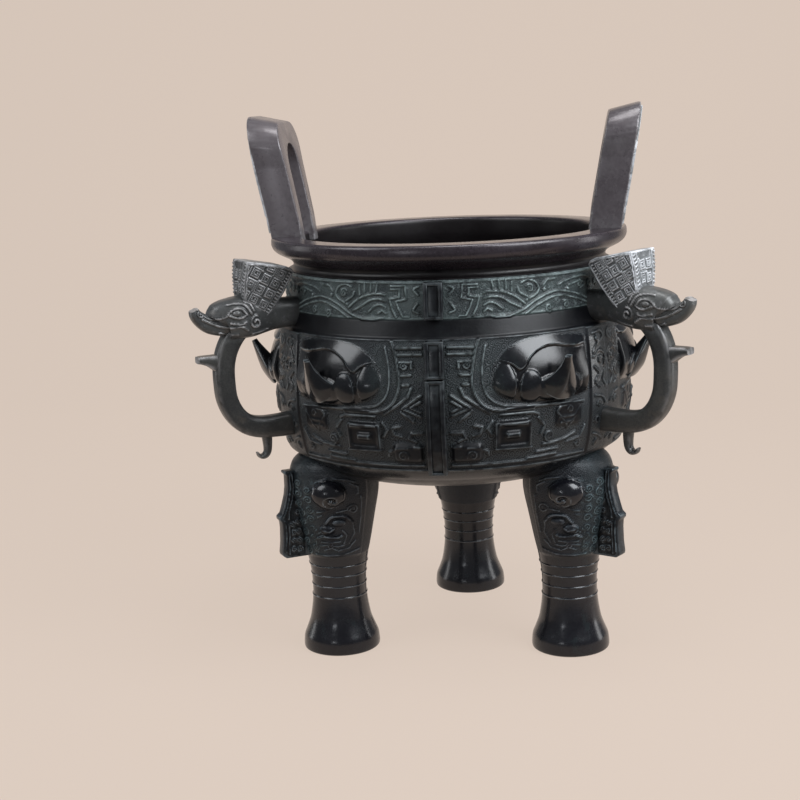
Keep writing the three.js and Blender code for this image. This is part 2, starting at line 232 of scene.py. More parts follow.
def makeBronze(name, look):
    material = bpy.data.materials.new(name)
    material.use_nodes = True
    tree = material.node_tree
    shader = tree.nodes["Principled BSDF"]
    objectPlace = tree.nodes.new("ShaderNodeTexCoord").outputs["Object"]

    def addGroup(group, **values):
        node = tree.nodes.new("ShaderNodeGroup")
        node.node_tree = group
        for key, value in values.items():
            if isinstance(value, tuple):
                node.inputs[key].default_value = (*value, 1)
            elif isinstance(value, (int, float)):
                node.inputs[key].default_value = value
            else:
                tree.links.new(value, node.inputs[key])
        return node.outputs

    def readAttribute(label):
        node = tree.nodes.new("ShaderNodeAttribute")
        node.attribute_name = label
        return node.outputs

    patina = addGroup(castPatina, Vector=objectPlace, Dark=look["dark"], Light=look["light"],
                      Stain=look["stain"], Scale=look["scale"])
    edges = addGroup(rubbedEdgesAndSheen, Curve=readAttribute("curve")["Fac"], Base=patina["Color"],
                     Rubbed=look["rubbedAndSheen"], Dirt=look["dirtAndShade"], Vector=objectPlace)
    finishAndShade = tree.nodes.new("ShaderNodeSeparateXYZ")
    tree.links.new(readAttribute("finishAndShade")["Vector"], finishAndShade.inputs[0])
    colour = edges["Color"]
    if look.get("verdigris"):
        green = addGroup(castPatina, Vector=objectPlace, Dark=look["deepGreen"], Light=look["verdigris"],
                         Stain=look["pale"], Scale=surface["greenScale"])["Color"]
        green = addGroup(rubbedEdgesAndSheen, Curve=readAttribute("curve")["Fac"], Base=green,
                         Rubbed=look["pale"], Dirt=look["dark"], Vector=objectPlace)["Color"]
        share = nodeMath(tree, "MULTIPLY", finishAndShade.outputs["X"], surface["greenShare"])
        colour = nodeMix(tree, share, colour, green)
    # the third stored value darkens the colour towards the dark colour: painted shade inside the bowl, in
    # the hollows under the horns and at the leg tops, and plain darkening on the lower masks, the band, the
    # flanges and the horn tips
    colour = nodeMix(tree, finishAndShade.outputs["Z"], colour, look["dirtAndShade"])
    height = patina["Height"]
    if look.get("tile"):
        pattern = readAttribute("pattern")["Vector"]
        lines = addGroup(thunderLines, Vector=pattern, Tile=look["tile"], Turns=look["turns"])["Height"]
        split = tree.nodes.new("ShaderNodeSeparateXYZ")
        tree.links.new(pattern, split.inputs[0])
        shown = nodeMath(tree, "MULTIPLY", lines, split.outputs["Z"])
        colour = nodeMix(tree, nodeMath(tree, "MULTIPLY", shown, look["lineShade"]), colour, look["rubbedAndSheen"])
        height = nodeMath(tree, "ADD", height, nodeMath(tree, "MULTIPLY", shown, look["lineDepth"]))
    tree.links.new(colour, shader.inputs["Base Color"])
    polish = nodeMath(tree, "MULTIPLY", finishAndShade.outputs["Y"], look["polish"])
    rough = nodeMath(tree, "ADD", patina["Roughness"], look["roughness"])
    rough = nodeMath(tree, "SUBTRACT", rough, polish)
    tree.links.new(rough, shader.inputs["Roughness"])
    shader.inputs["Metallic"].default_value = look["metallic"]
    shader.inputs["Specular IOR Level"].default_value = look["specular"]
    if look.get("coat"):
        coat = nodeMath(tree, "MULTIPLY", finishAndShade.outputs["Y"], look["coat"])
        tree.links.new(coat, shader.inputs["Coat Weight"])
        shader.inputs["Coat Roughness"].default_value = surface["coatRoughness"]
    bump = tree.nodes.new("ShaderNodeBump")
    bump.inputs["Strength"].default_value = look["bump"]
    bump.inputs["Distance"].default_value = surface["bumpDistance"]
    tree.links.new(height, bump.inputs["Height"])
    tree.links.new(bump.outputs["Normal"], shader.inputs["Normal"])
    return material


bowlBronze = makeBronze("bowlBronze", {
    "dark": (0.003, 0.0035, 0.005), "light": (0.010, 0.0115, 0.0145), "stain": (0.014, 0.022, 0.022),
    "rubbedAndSheen": (0.13, 0.15, 0.16), "dirtAndShade": (0.001, 0.001, 0.002), "deepGreen": (0.013, 0.018, 0.019),
    "verdigris": (0.060, 0.080, 0.078), "pale": (0.20, 0.25, 0.25), "scale": 1.0, "roughness": 0.14,
    "polish": 0.22, "metallic": 0.2, "specular": 0.30, "coat": 0.50, "bump": 0.45, "tile": 13.0,
    "turns": 1.6, "lineShade": 0.30, "lineDepth": 1.2,
})
rimBronze = makeBronze("rimBronze", {
    "dark": (0.020, 0.015, 0.019), "light": (0.038, 0.030, 0.037), "stain": (0.032, 0.026, 0.031),
    "rubbedAndSheen": (0.34, 0.32, 0.34), "dirtAndShade": (0.005, 0.004, 0.004), "scale": 0.6, "roughness": 0.14,
    "polish": 0.16, "metallic": 0.25, "specular": 0.5, "bump": 0.12,
})
earBronze = makeBronze("earBronze", {
    "dark": (0.062, 0.053, 0.058), "light": (0.104, 0.091, 0.098), "stain": (0.080, 0.070, 0.075),
    "rubbedAndSheen": (0.36, 0.35, 0.36), "dirtAndShade": (0.015, 0.013, 0.014), "scale": 0.5, "roughness": 0.16,
    "polish": 0.10, "metallic": 0.25, "specular": 0.5, "bump": 0.08,
})
legBronze = makeBronze("legBronze", {
    "dark": (0.005, 0.005, 0.008), "light": (0.012, 0.013, 0.017), "stain": (0.011, 0.017, 0.020),
    "rubbedAndSheen": (0.10, 0.12, 0.14), "dirtAndShade": (0.001, 0.001, 0.002), "deepGreen": (0.010, 0.016, 0.019),
    "verdigris": (0.022, 0.033, 0.037), "pale": (0.10, 0.145, 0.16), "scale": 0.9, "roughness": 0.16,
    "polish": 0.17, "metallic": 0.2, "specular": 0.30, "coat": 0.45, "bump": 0.35, "tile": 12.0,
    "turns": 1.6, "lineShade": 0.22, "lineDepth": 1.2,
})
handleBronze = makeBronze("handleBronze", {
    "dark": (0.018, 0.018, 0.018), "light": (0.048, 0.047, 0.043), "stain": (0.058, 0.050, 0.040),
    "rubbedAndSheen": (0.24, 0.23, 0.23), "dirtAndShade": (0.004, 0.004, 0.004), "deepGreen": (0.165, 0.175, 0.182),
    "verdigris": (0.300, 0.318, 0.330), "pale": (0.74, 0.76, 0.80), "scale": 1.2, "roughness": 0.20,
    "polish": 0.12, "metallic": 0.2, "specular": 0.5, "bump": 0.35,
})
print("materials made")


# helpers that make pieces


mergeDistance = 1e-5
curveGain = 0.9
strokeFlank = (0.22, 0.62)  # where a line's flank starts and ends, as shares of its width


def finishPiece(bm, name, material, crease):
    bmesh.ops.remove_doubles(bm, verts=bm.verts, dist=mergeDistance)
    gaps = [e for e in bm.edges if e.is_boundary]
    if gaps:
        bmesh.ops.holes_fill(bm, edges=gaps)
    bmesh.ops.recalc_face_normals(bm, faces=bm.faces)
    mesh = bpy.data.meshes.new(name)
    bm.to_mesh(mesh)
    bm.free()
    mesh.shade_smooth()
    mesh.set_sharp_from_angle(angle=math.radians(crease))
    piece = bpy.data.objects.new(name, mesh)
    bpy.context.scene.collection.objects.link(piece)
    mesh.materials.append(material)
    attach(piece, "root")
    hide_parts("ding_vessel")
    print(name, len(mesh.vertices), "points")
    return piece


def readPoints(mesh):
    points = np.empty(len(mesh.vertices) * 3)
    mesh.vertices.foreach_get("co", points)
    return points.reshape(-1, 3)


def writePoints(mesh, points):
    mesh.vertices.foreach_set("co", points.ravel())
    mesh.update()


def storeCurve(piece):
    # how far each point stands out from its neighbours, 0.5 on a flat face
    mesh = piece.data
    points = readPoints(mesh)
    ends = np.empty(len(mesh.edges) * 2, dtype=np.int32)
    mesh.edges.foreach_get("vertices", ends)
    ends = ends.reshape(-1, 2)
    normals = np.empty(len(mesh.vertices) * 3)
    mesh.vertex_normals.foreach_get("vector", normals)
    normals = normals.reshape(-1, 3)
    along = points[ends[:, 1]] - points[ends[:, 0]]
    along /= np.maximum(np.linalg.norm(along, axis=1), 1e-7)[:, None]
    total = np.zeros_like(points)
    count = np.zeros(len(points))
    for first, second, sign in ((0, 1, 1), (1, 0, -1)):
        np.add.at(total, ends[:, first], sign * along)
        np.add.at(count, ends[:, first], 1)
    curve = -np.sum(total * normals, axis=1) / np.maximum(count, 1)
    store = mesh.attributes.new("curve", "FLOAT", "POINT")
    store.data.foreach_set("value", np.clip(0.5 + curveGain * curve, 0, 1))


def storePattern(piece, across, up, ground):
    store = piece.data.attributes.new("pattern", "FLOAT_VECTOR", "POINT")
    store.data.foreach_set("vector", np.stack([across, up, ground], axis=1).ravel())


def storeFinishAndShade(piece, green, polish, shade=0.0):
    # how green the patina is, how smooth the surface is and how far its colour is darkened, each from 0 to
    # 1; the darkening is partly painted shade
    count = len(piece.data.vertices)
    store = piece.data.attributes.new("finishAndShade", "FLOAT_VECTOR", "POINT")
    rows = [np.broadcast_to(v, count) for v in (green, polish, shade)]
    store.data.foreach_set("vector", np.stack(rows, axis=1).ravel())


def spinProfile(bm, profile, steps, centre=axis, azimuth=0.0, sweep=360.0, face=False):
    # profile rows are radius and height in millimetres; a face gives a solid block of wall
    a = math.radians(azimuth)
    verts = [bm.verts.new(centre + Vector((r * math.sin(a) * mm, -r * math.cos(a) * mm, z * mm)))
             for r, z in profile]
    if face:
        geom = [bm.faces.new(verts)]
        geom += list(geom[0].edges) + verts
    else:
        geom = verts + [bm.edges.new(pair) for pair in zip(verts, verts[1:])]
    bmesh.ops.spin(bm, geom=geom, cent=centre, axis=(0, 0, 1), angle=math.radians(sweep), steps=steps,
                   use_merge=sweep == 360.0)


def extrudeOutline(bm, azimuth, outline, sides, bevel):
    # a plate in the plane through the bowl's axis; sides gives its two side distances at a height
    verts = [bm.verts.new(place(azimuth, r, z, sides(z)[0])) for r, z in outline]
    face = bm.faces.new(verts)
    moved = bmesh.ops.extrude_face_region(bm, geom=[face], use_keep_orig=True)
    top = [v for v in moved["geom"] if isinstance(v, bmesh.types.BMVert)]
    for v in top:
        near, far = sides(v.co.z / mm)
        v.co += place(azimuth, 0, 0, far - near) - place(azimuth, 0, 0, 0)
    both = set(verts) | set(top)
    edges = [e for e in bm.edges if e.verts[0] in both and e.verts[1] in both]
    bmesh.ops.bevel(bm, geom=edges, offset=bevel * mm, offset_type="OFFSET", segments=2, profile=0.5,
                    affect="EDGES", material=-1, clamp_overlap=True)


def sweepRings(bm, azimuth, path, sides, power):
    # rows are radius, height, depth across the path and width sideways, in millimetres
    ring = None
    for i, (r, z, depth, width) in enumerate(path):
        r0, z0 = path[max(i - 1, 0)][:2]
        r1, z1 = path[min(i + 1, len(path) - 1)][:2]
        slope = math.atan2(z1 - z0, r1 - r0) + math.pi / 2
        points = []
        for k in range(sides):
            t = 2 * math.pi * k / sides
            c, s = math.cos(t), math.sin(t)
            stretch = (abs(c) ** power + abs(s) ** power) ** (-1 / power)
            u, v = c * stretch * depth / 2, s * stretch * width / 2
            points.append(place(azimuth, r + u * math.cos(slope), z + u * math.sin(slope), v))
        if ring is None:
            ring = [bm.verts.new(p) for p in points]
            bm.faces.new(ring)
            edges = [bm.edges.get((ring[k], ring[(k + 1) % sides])) for k in range(sides)]
        else:
            moved = bmesh.ops.extrude_edge_only(bm, edges=edges)["geom"]
            edges = [e for e in moved if isinstance(e, bmesh.types.BMEdge)]
            fresh = {v for v in moved if isinstance(v, bmesh.types.BMVert)}
            follow = [next(e.other_vert(v) for e in v.link_edges if e.other_vert(v) in fresh) for v in ring]
            for v, p in zip(follow, points):
                v.co = p
            ring = follow
    bm.faces.new(ring)


def strokeDistance(x, y, path):
    best = np.full(x.shape, 1e3)
    for (x0, y0), (x1, y1) in zip(path, path[1:]):
        dx, dy = x1 - x0, y1 - y0
        t = np.clip(((x - x0) * dx + (y - y0) * dy) / max(dx * dx + dy * dy, 1e-9), 0, 1)
        best = np.minimum(best, np.hypot(x - x0 - t * dx, y - y0 - t * dy))
    return best


def ease(value, low, high):
    t = np.clip((value - low) / (high - low), 0, 1)
    return t * t * (3 - 2 * t)


def drawStrokes(x, y, strokes, width, rise):
    # raised lines: each stroke is a path, and may carry its own width and rise
    height = np.zeros(x.shape)
    for stroke in strokes:
        path, w, h = stroke if isinstance(stroke, tuple) else (stroke, width, rise)
        path = np.array(path, dtype=float)
        low, high = path.min(axis=0) - w, path.max(axis=0) + w
        near = (x > low[0]) & (x < high[0]) & (y > low[1]) & (y < high[1])
        d = strokeDistance(x[near], y[near], path)
        flank = ease(d, w * strokeFlank[0], w * strokeFlank[1])
        height[near] = np.maximum(height[near], h * (1 - flank))
    return height


sheetBack = -3.0  # millimetres from a sheet's face to its hidden back


def addCarvedSheet(bm, across, up, cells, kept, strokes, line, put):
    # a thin sheet: kept says where it is, put places a point at across, up and how far it stands out
    sheet = bmesh.new()
    bmesh.ops.create_grid(sheet, x_segments=cells[0], y_segments=cells[1], size=0.5)
    for v in sheet.verts:
        x = across[0] + (v.co.x + 0.5) * (across[1] - across[0])
        v.co = Vector((x, up[0] + (v.co.y + 0.5) * (up[1] - up[0]), 0))
    bmesh.ops.delete(sheet, geom=[v for v in sheet.verts if not kept(v.co.x, v.co.y)], context="VERTS")
    flat = [(v.co.x, v.co.y) for v in sheet.verts]
    rises = drawStrokes(*np.array(flat).T, strokes, *line)
    height = {(round(x, 3), round(y, 3)): float(h) for (x, y), h in zip(flat, rises)}
    bmesh.ops.solidify(sheet, geom=list(sheet.faces), thickness=1.0)
    low = min(v.co.z for v in sheet.verts) + 0.5
    made = {}
    for v in sheet.verts:
        rise = height[(round(v.co.x, 3), round(v.co.y, 3))] if v.co.z > low else sheetBack
        made[v] = bm.verts.new(put(v.co.x, v.co.y, rise))
    for f in sheet.faces:
        bm.faces.new([made[v] for v in f.verts])
    sheet.free()


# the bowl: one turned shell, with a carved block of wall for each mask

bowl = {
    "steps": 200, "panelSteps": 350, "rowStep": 2.35, "panelTop": 880.0, "panelFoot": 471.0,
    "panelDepth": 7.5, "widest": (606, 411), "narrows": (20, 133, 11, 151), "overlap": 1.5,
    "recess": (472, 879, 30), "band": [(757, 400), (761, 395), (797, 384)],
    "frieze": [(797, 384), (798.5, 382), (878, 376), (882, 371)],
    "under": [(0, 378), (60, 379), (157, 389), (240, 403), (300, 419), (335, 432), (360, 447), (376, 461),
              (384, 470)],
    "lip": [(370, 881), (364, 885), (361, 892), (364, 900), (374, 908), (388, 915), (399, 921), (406, 928),
            (409.6, 936), (410, 945), (408.6, 951.5), (404, 955), (396, 955.6)],
    "mouth": [(352, 955.6), (346, 954), (342.8, 949), (342, 940), (342, 918), (344, 903), (348, 887),
              (356, 862)],
    "inside": [(368, 820), (379, 786), (388, 745), (395, 690), (398, 640), (398, 600), (395, 550),
               (389, 515), (379, 486), (364, 466), (344, 452), (312, 438), (272, 426), (216, 412),
               (157, 403), (80, 393), (0, 391)],
    "lipFlat": (374, 955.8), "undersideTop": 0.476, "back": (878, 800, 757, 680, 606, 540, 500, 474),
}


def wallRadius(z):
    z = np.asarray(z, dtype=float)
    level, radius = bowl["widest"]
    low, down, high, up = bowl["narrows"]
    lower, upper = radius - low * ((level - z) / down) ** 2, radius - high * ((z - level) / up) ** 2
    belly = np.where(z < level, lower, upper)
    band, frieze = [np.interp(z, *zip(*bowl[name])) for name in ("band", "frieze")]
    return np.where(z <= bowl["band"][0][0], belly, np.where(z <= bowl["frieze"][0][0], band, frieze))


def makeBowlShell():
    inner = bowl["panelDepth"] - bowl["overlap"]
    recess = [(float(wallRadius(z)) - inner, z) for z in np.linspace(*bowl["recess"])]
    under, lip, mouth = [smoothPath(bowl[name], 3) for name in ("under", "lip", "mouth")]
    profile = [*under, *recess, *lip, bowl["lipFlat"], *mouth, *smoothPath(bowl["inside"], 2)]
    bm = bmesh.new()
    spinProfile(bm, profile, bowl["steps"])
    shell = finishPiece(bm, "bowlShell", rimBronze, 50)
    shell.data.materials.append(bowlBronze)
    for face in shell.data.polygons:
        outward = face.normal.dot(face.center - axis) > 0 or face.normal.z < -0.5
        beneath = face.center.z < bowl["undersideTop"] and outward and face.normal.z < 0.2
        face.material_index = 1 if beneath else 0
    storeCurve(shell)
    points = readPoints(shell.data)
    depth, z = np.hypot(points[:, 0], points[:, 1] - axisY) / mm, points[:, 2]
    # inside the throat and the bowl the colour is darkened as painted shade and the surface is dull; the
    # rim's flat top is smoother
    throat = (z > 0.39) & (depth < 343 + 12 * (z < 0.94))
    cavity = (z > 0.48) & (z < 0.9) & (depth < 398)
    within = throat | cavity
    rimTop = z > 0.9535
    storeFinishAndShade(shell, 0.0, (0.6 + 0.6 * rimTop) * (1 - within), 0.85 * within)


maskLines = [
    [(4, 742), (12, 741)], [(4, 728), (11.6, 727)],
    [(7.4, 685), (10.2, 683)], [(8.0, 664), (9.6, 663)], [(7, 700), (7, 712), (10.6, 711)],
    [(7.2, 656), (8.3, 638), (11.6, 620), (15.9, 600)],
    [(4.4, 641), (10.0, 613), (4.6, 597)], [(4.6, 628), (7.4, 615), (4.6, 606)], [(10.4, 606), (6.9, 586)],
    [(18.5, 603), (29.4, 602)], [(19.0, 594), (29.4, 593), (31, 588)],
    [(16.4, 581), (15.0, 566), (16.2, 552)],
    [(31.0, 580), (33.2, 561), (32.0, 543)],
    [(37.4, 589), (38.8, 599), (46.9, 602)], [(46.1, 590), (41.6, 549), (37.4, 586)],
    [(38.2, 574), (44.6, 573)], [(38.8, 562), (43.4, 562)],
    [(31.0, 503), (38.4, 505)], [(27.8, 490), (38.0, 493)], [(33, 518), (40, 522), (45, 534)],
    [(4.4, 529), (6.8, 530)], [(9.0, 526), (12.6, 525)], [(13.4, 520), (15.2, 515), (15.4, 507)],
    [(4.4, 560), (7.6, 560), (8.4, 548), (6.4, 541)], [(11.2, 574), (13.4, 570), (12.8, 556), (10.8, 552)],
    [(4.4, 487), (20, 486), (40, 485), (59, 484)], [(42, 515), (47, 520), (49, 545)],
]
maskCoils = [
    ((9.2, 704), 2, 9, 1.3, 0), ((35.0, 536), 2, 12, 1.6, 40), ((10.4, 509), 2, 11, 1.5, 20),
    ((42.2, 588), 1.5, 7, 1.2, 90), ((46.5, 506), 2, 8, 1.3, 0),
]
stripCurves = [
    [(53.6, 742), (57.5, 744), (58.6, 730), (55.4, 716), (53.4, 700)],
    [(53.2, 690), (56.0, 702), (58.8, 692), (58.2, 670)],
    [(53.4, 668), (55.6, 652), (53.6, 636), (55.8, 622)], [(58.4, 655), (57.2, 640), (58.8, 624)],
    [(53.2, 606), (56.8, 600), (58.6, 586)], [(53.4, 520), (56.4, 512), (58.8, 500)],
]
stripCoils = [
    ((55.6, 730), 1.5, 8, 1.3, 0), ((56.6, 684), 1.5, 8, 1.3, 150), ((55.4, 586), 1.5, 9, 1.4, 40),
    ((54.6, 552), 1.5, 8, 1.3, 200), ((54.8, 498), 1.5, 7, 1.2, 0),
]
friezeLines = [
    [(13.9, 869), (9.2, 870), (8.8, 842), (12.2, 837), (11.4, 822), (10.0, 805), (8.0, 805)],
    [(13.9, 863), (11.2, 863), (11.2, 846), (14.4, 842), (13.6, 822), (12.2, 804)],
    [(18.6, 875), (19.2, 856)], [(20.9, 875), (21.2, 857)], [(23.3, 874), (23.4, 856)],
    [(25.4, 869), (25.2, 850)], [(16.0, 851), (18.6, 853), (22.6, 849), (26.4, 838), (29.6, 822)],
    [(15.8, 838), (18.4, 842), (21.6, 838), (24.6, 826), (28.0, 815)],
    [(15.8, 825), (17.6, 830), (19.8, 826), (21.8, 815)], [(15.8, 812), (17.0, 817), (18.4, 812)],
    [(27.4, 856), (28.0, 846), (30.6, 836)],
    [(28.6, 866), (30.9, 871), (33.8, 865), (35.0, 850), (33.6, 838), (31.4, 832)],
    [(4.8, 868), (6.4, 862), (5.0, 850)], [(4.8, 812), (6.6, 818), (5.2, 832)],
]
friezeCurves = [
    [(16.4, 802), (22.8, 798), (28.6, 808), (34.6, 829), (41.9, 841), (50.1, 831), (57.0, 814)],
    [(29.6, 800), (35.3, 819), (41.9, 831), (49.9, 821), (57.3, 804)],
    [(43.0, 853), (46.6, 861), (53.8, 866), (58.3, 861)],
    [(47.5, 850), (52.5, 855), (55.5, 848), (53.0, 841)], [(36.6, 855), (38.4, 866), (41.4, 868)],
]
friezeCoils = [
    ((31.6, 853), 1.5, 9, 1.4, 0), ((38.4, 808), 1.5, 9, 1.3, 200), ((45.5, 811), 1.5, 8, 1.3, 20),
    ((52.5, 850), 1.5, 7, 1.2, 0), ((58.2, 848), 1.5, 7, 1.2, 180),
]
friezeDots = [(37.0, 847, 5.0), (46.8, 843, 4.5), (30.2, 829, 4.0)]


def onArc(paths):
    return [[(a * arc, z) for a, z in path] for path in paths]


def coilsOnArc(coils):
    return [coilPath((c[0] * arc, c[1]), start, end, turns, first) for c, start, end, turns, first in coils]


def roundedBox(x, y, cx, cy, halfX, halfY, corner):
    dx = np.abs(x - cx) - halfX + corner
    dy = np.abs(y - cy) - halfY + corner
    return np.hypot(np.maximum(dx, 0), np.maximum(dy, 0)) + np.minimum(np.maximum(dx, dy), 0) - corner


borders = {
    # a wide raised line round the horn, and a narrow one inside it: path, width and rise
    "outer": ([(13.2, 757), (12.2, 735), (11.1, 700), (10.9, 660), (12.4, 630), (15.0, 611), (19.0, 604),
               (24, 607), (34, 606), (48, 600)], 8.0, 5.4),
    "inner": ([(15.2, 742), (14.0, 700), (14.2, 655), (16.4, 627), (20.4, 613), (27, 611)], 5.4, 3.6),
}
horn = {
    # angle and height of its middle, half sizes, and how far it stands out
    "middle": (36, 672), "inner": 19.5, "outer": 24, "above": 83, "below": 60, "power": 2.3, "proud": 26.5,
    "crownPower": 1.7, "crownFrom": (655, 700), "end": (49.0, 51.6), "hollow": 7.5, "hollowShare": 0.7,
    "soft": 3, "lobes": ((20.2, 656, 25, 52), (27.9, 649, 24, 38), (37.4, 645, 60, 30)), "lobePower": 0.26,
    "brow": [(15.6, 700), (19.2, 707), (22.6, 700), (24.8, 688), (26.6, 695), (28.8, 714), (32.4, 728),
             (36.6, 732), (41, 727), (46, 723), (52, 728)],
}
mask = {
    # boxes: angle, height, half width, half height, corner
    "frame": (22.9, 548, 41, 32, 9), "ball": (22.9, 548, 33, 22, 8), "pupil": (22.6, 549, 19, 10, 7),
    "ear": (42, 577, 38, 26, 14), "nose": (9, 515, 34, 22, 12),
    "frameRise": 9.5, "ballSink": 3.2, "pupilRise": 8.5, "earRise": 5, "noseRise": 8,
    "lids": (([(18.6, 573), (27.0, 572)], 9.0, 11.5), ([(17.6, 519), (28.6, 518)], 7.0, 11.5)),
    "lines": (7.2, 5.0), "coils": (5.4, 4.6), "softLines": (6.0, 3.2), "softShare": 0.6, "underHorn": 0.4,
    "strip": (50.2, 52.0), "stripRise": 4.0, "stripLines": (6.0, 3.4), "swirlsFrom": 52.6,
    "top": 757, "foot": 478, "footEdge": (475, 3.0, 1.2, 3.4), "topEdge": (757.5, 2.2, 1.0, 3.2),
}


def onArcBox(u, z, box):
    return roundedBox(u, z, box[0] * arc, *box[1:])


def edgeRise(z, edge):
    middle, rise, near, far = edge
    return rise * (1 - ease(np.abs(z - middle), near, far))


browPath = smoothPath(horn["brow"], 5)


def hornHeight(u, z):
    # a smooth bulge with a hollow, lobes and a broad root below the free tip
    a = u / arc
    across, up = horn["middle"][0] * arc, horn["middle"][1]
    aside = np.where(u < across, (across - u) / (horn["inner"] * arc), (u - across) / (horn["outer"] * arc))
    level = np.where(z > up, (z - up) / horn["above"], (up - z) / horn["below"])
    edge = (aside ** horn["power"] + level ** horn["power"]) ** (1 / horn["power"])
    inside = np.clip(1 - edge, 0, 1)
    crown, belly = 1 - (1 - inside) ** horn["crownPower"], np.sqrt(np.clip(1 - (1 - inside) ** 2, 0, 1))
    shape = belly + (crown - belly) * ease(z, *horn["crownFrom"])
    bulge = horn["proud"] * shape * (1 - ease(a, *horn["end"]))
    below = ease(np.interp(a, browPath[:, 0], browPath[:, 1]) - z, -horn["soft"], horn["soft"])
    lobes = np.zeros(u.shape)
    for middle, rise, half, tall in horn["lobes"]:
        spread = ((u - middle * arc) / half) ** 2 + ((z - rise) / tall) ** 2
        lobes = np.maximum(lobes, np.clip(1 - spread, 0, 1) ** horn["lobePower"])
    hollow = below * (1 - lobes) * (edge < 1)
    return bulge - np.minimum(horn["hollow"] * hollow, horn["hollowShare"] * bulge), edge, below, hollow


def maskHeight(u, z):
    a = u / arc
    height = drawStrokes(u, z, onArc(maskLines), *mask["lines"])
    height = np.maximum(height, drawStrokes(u, z, coilsOnArc(maskCoils), *mask["coils"]))
    lines = [(smoothPath(path, 5) * [arc, 1], width, rise) for path, width, rise in borders.values()]
    height = np.maximum(height, drawStrokes(u, z, lines, 0, 0))
    rise, edge, below, hollow = hornHeight(u, z)
    height = np.where(edge < 1, np.maximum(mask["underHorn"] * height, rise), height)
    # the eye: a rounded block with a heavy lid, a lower lid and a raised pupil
    eye = mask["frameRise"] * (1 - ease(onArcBox(u, z, mask["frame"]), -2.5, 0.5))
    eye = eye - mask["ballSink"] * (1 - ease(onArcBox(u, z, mask["ball"]), -5, 1.5))
    eye = eye + mask["pupilRise"] * (1 - ease(onArcBox(u, z, mask["pupil"]), -8, 1.0))
    lids = [(np.array(path) * [arc, 1], width, rise) for path, width, rise in mask["lids"]]
    height = np.maximum(height, np.maximum(eye, drawStrokes(u, z, lids, 0, 0)))
    # ear and nose swell gently under their lines
    ear = mask["earRise"] * (1 - ease(onArcBox(u, z, mask["ear"]), -7, 3))
    nose = mask["noseRise"] * (1 - ease(onArcBox(u, z, mask["nose"]), -9, 4))
    lines = drawStrokes(u, z, onArc(maskLines) + coilsOnArc(maskCoils), *mask["softLines"])
    height = np.maximum(height, np.maximum(ear, nose) + mask["softShare"] * lines)
    # the strip behind each handle stands proud, with swirls on it
    swirls = onArc([smoothPath(c, 5) for c in stripCurves]) + coilsOnArc(stripCoils)
    strip = mask["stripRise"] * ease(a, *mask["strip"])
    strip = strip + (a > mask["swirlsFrom"]) * drawStrokes(u, z, swirls, *mask["stripLines"])
    height = np.where(a > mask["strip"][0], strip, height)
    height = np.where((z > mask["top"]) | (z < mask["foot"]), 0.0, height)
    polish = np.where(edge < 0.99, 1.0 - 0.3 * below, 0.0)
    # darker towards the foot of the mask and on the band above it; painted shade in the hollow under the
    # horn's brow
    shade = 0.4 * (1 - ease(z, 560, 650)) + 0.65 * (z > mask["top"]) + 0.7 * hollow
    edges = np.maximum(edgeRise(z, mask["footEdge"]), edgeRise(z, mask["topEdge"]))
    return np.maximum(height, edges), polish, shade


frieze = {
    "lines": (5.2, 3.4), "dotRise": 4.5, "edges": (800.5, 875.5), "edgeRise": (2.4, 1.2, 3.2),
    "span": (797, 879),
}


def friezeHeight(u, z):
    curves = [smoothPath(c, 5) for c in friezeLines[2:] + friezeCurves]
    lines = onArc(friezeLines[:2]) + onArc(curves) + coilsOnArc(friezeCoils)
    height = drawStrokes(u, z, lines, *frieze["lines"])
    for a, middle, r in friezeDots:
        dot = 1 - ease(np.hypot(u - a * arc, z - middle), r * 0.5, r)
        height = np.maximum(height, frieze["dotRise"] * dot)
    rise, near, far = frieze["edgeRise"]
    away = np.minimum(*[np.abs(z - level) for level in frieze["edges"]])
    height = np.maximum(height, rise * (1 - ease(away, near, far)))
    return np.where((z > frieze["span"][0]) & (z < frieze["span"][1]), height, 0.0)


panel = {
    "split": 760.5, "pattern": (480, 755, 800, 880), "flat": 1.8, "strip": (51.8, 5), "wave": (4, 2),
    "green": (690, 40, 90),
}


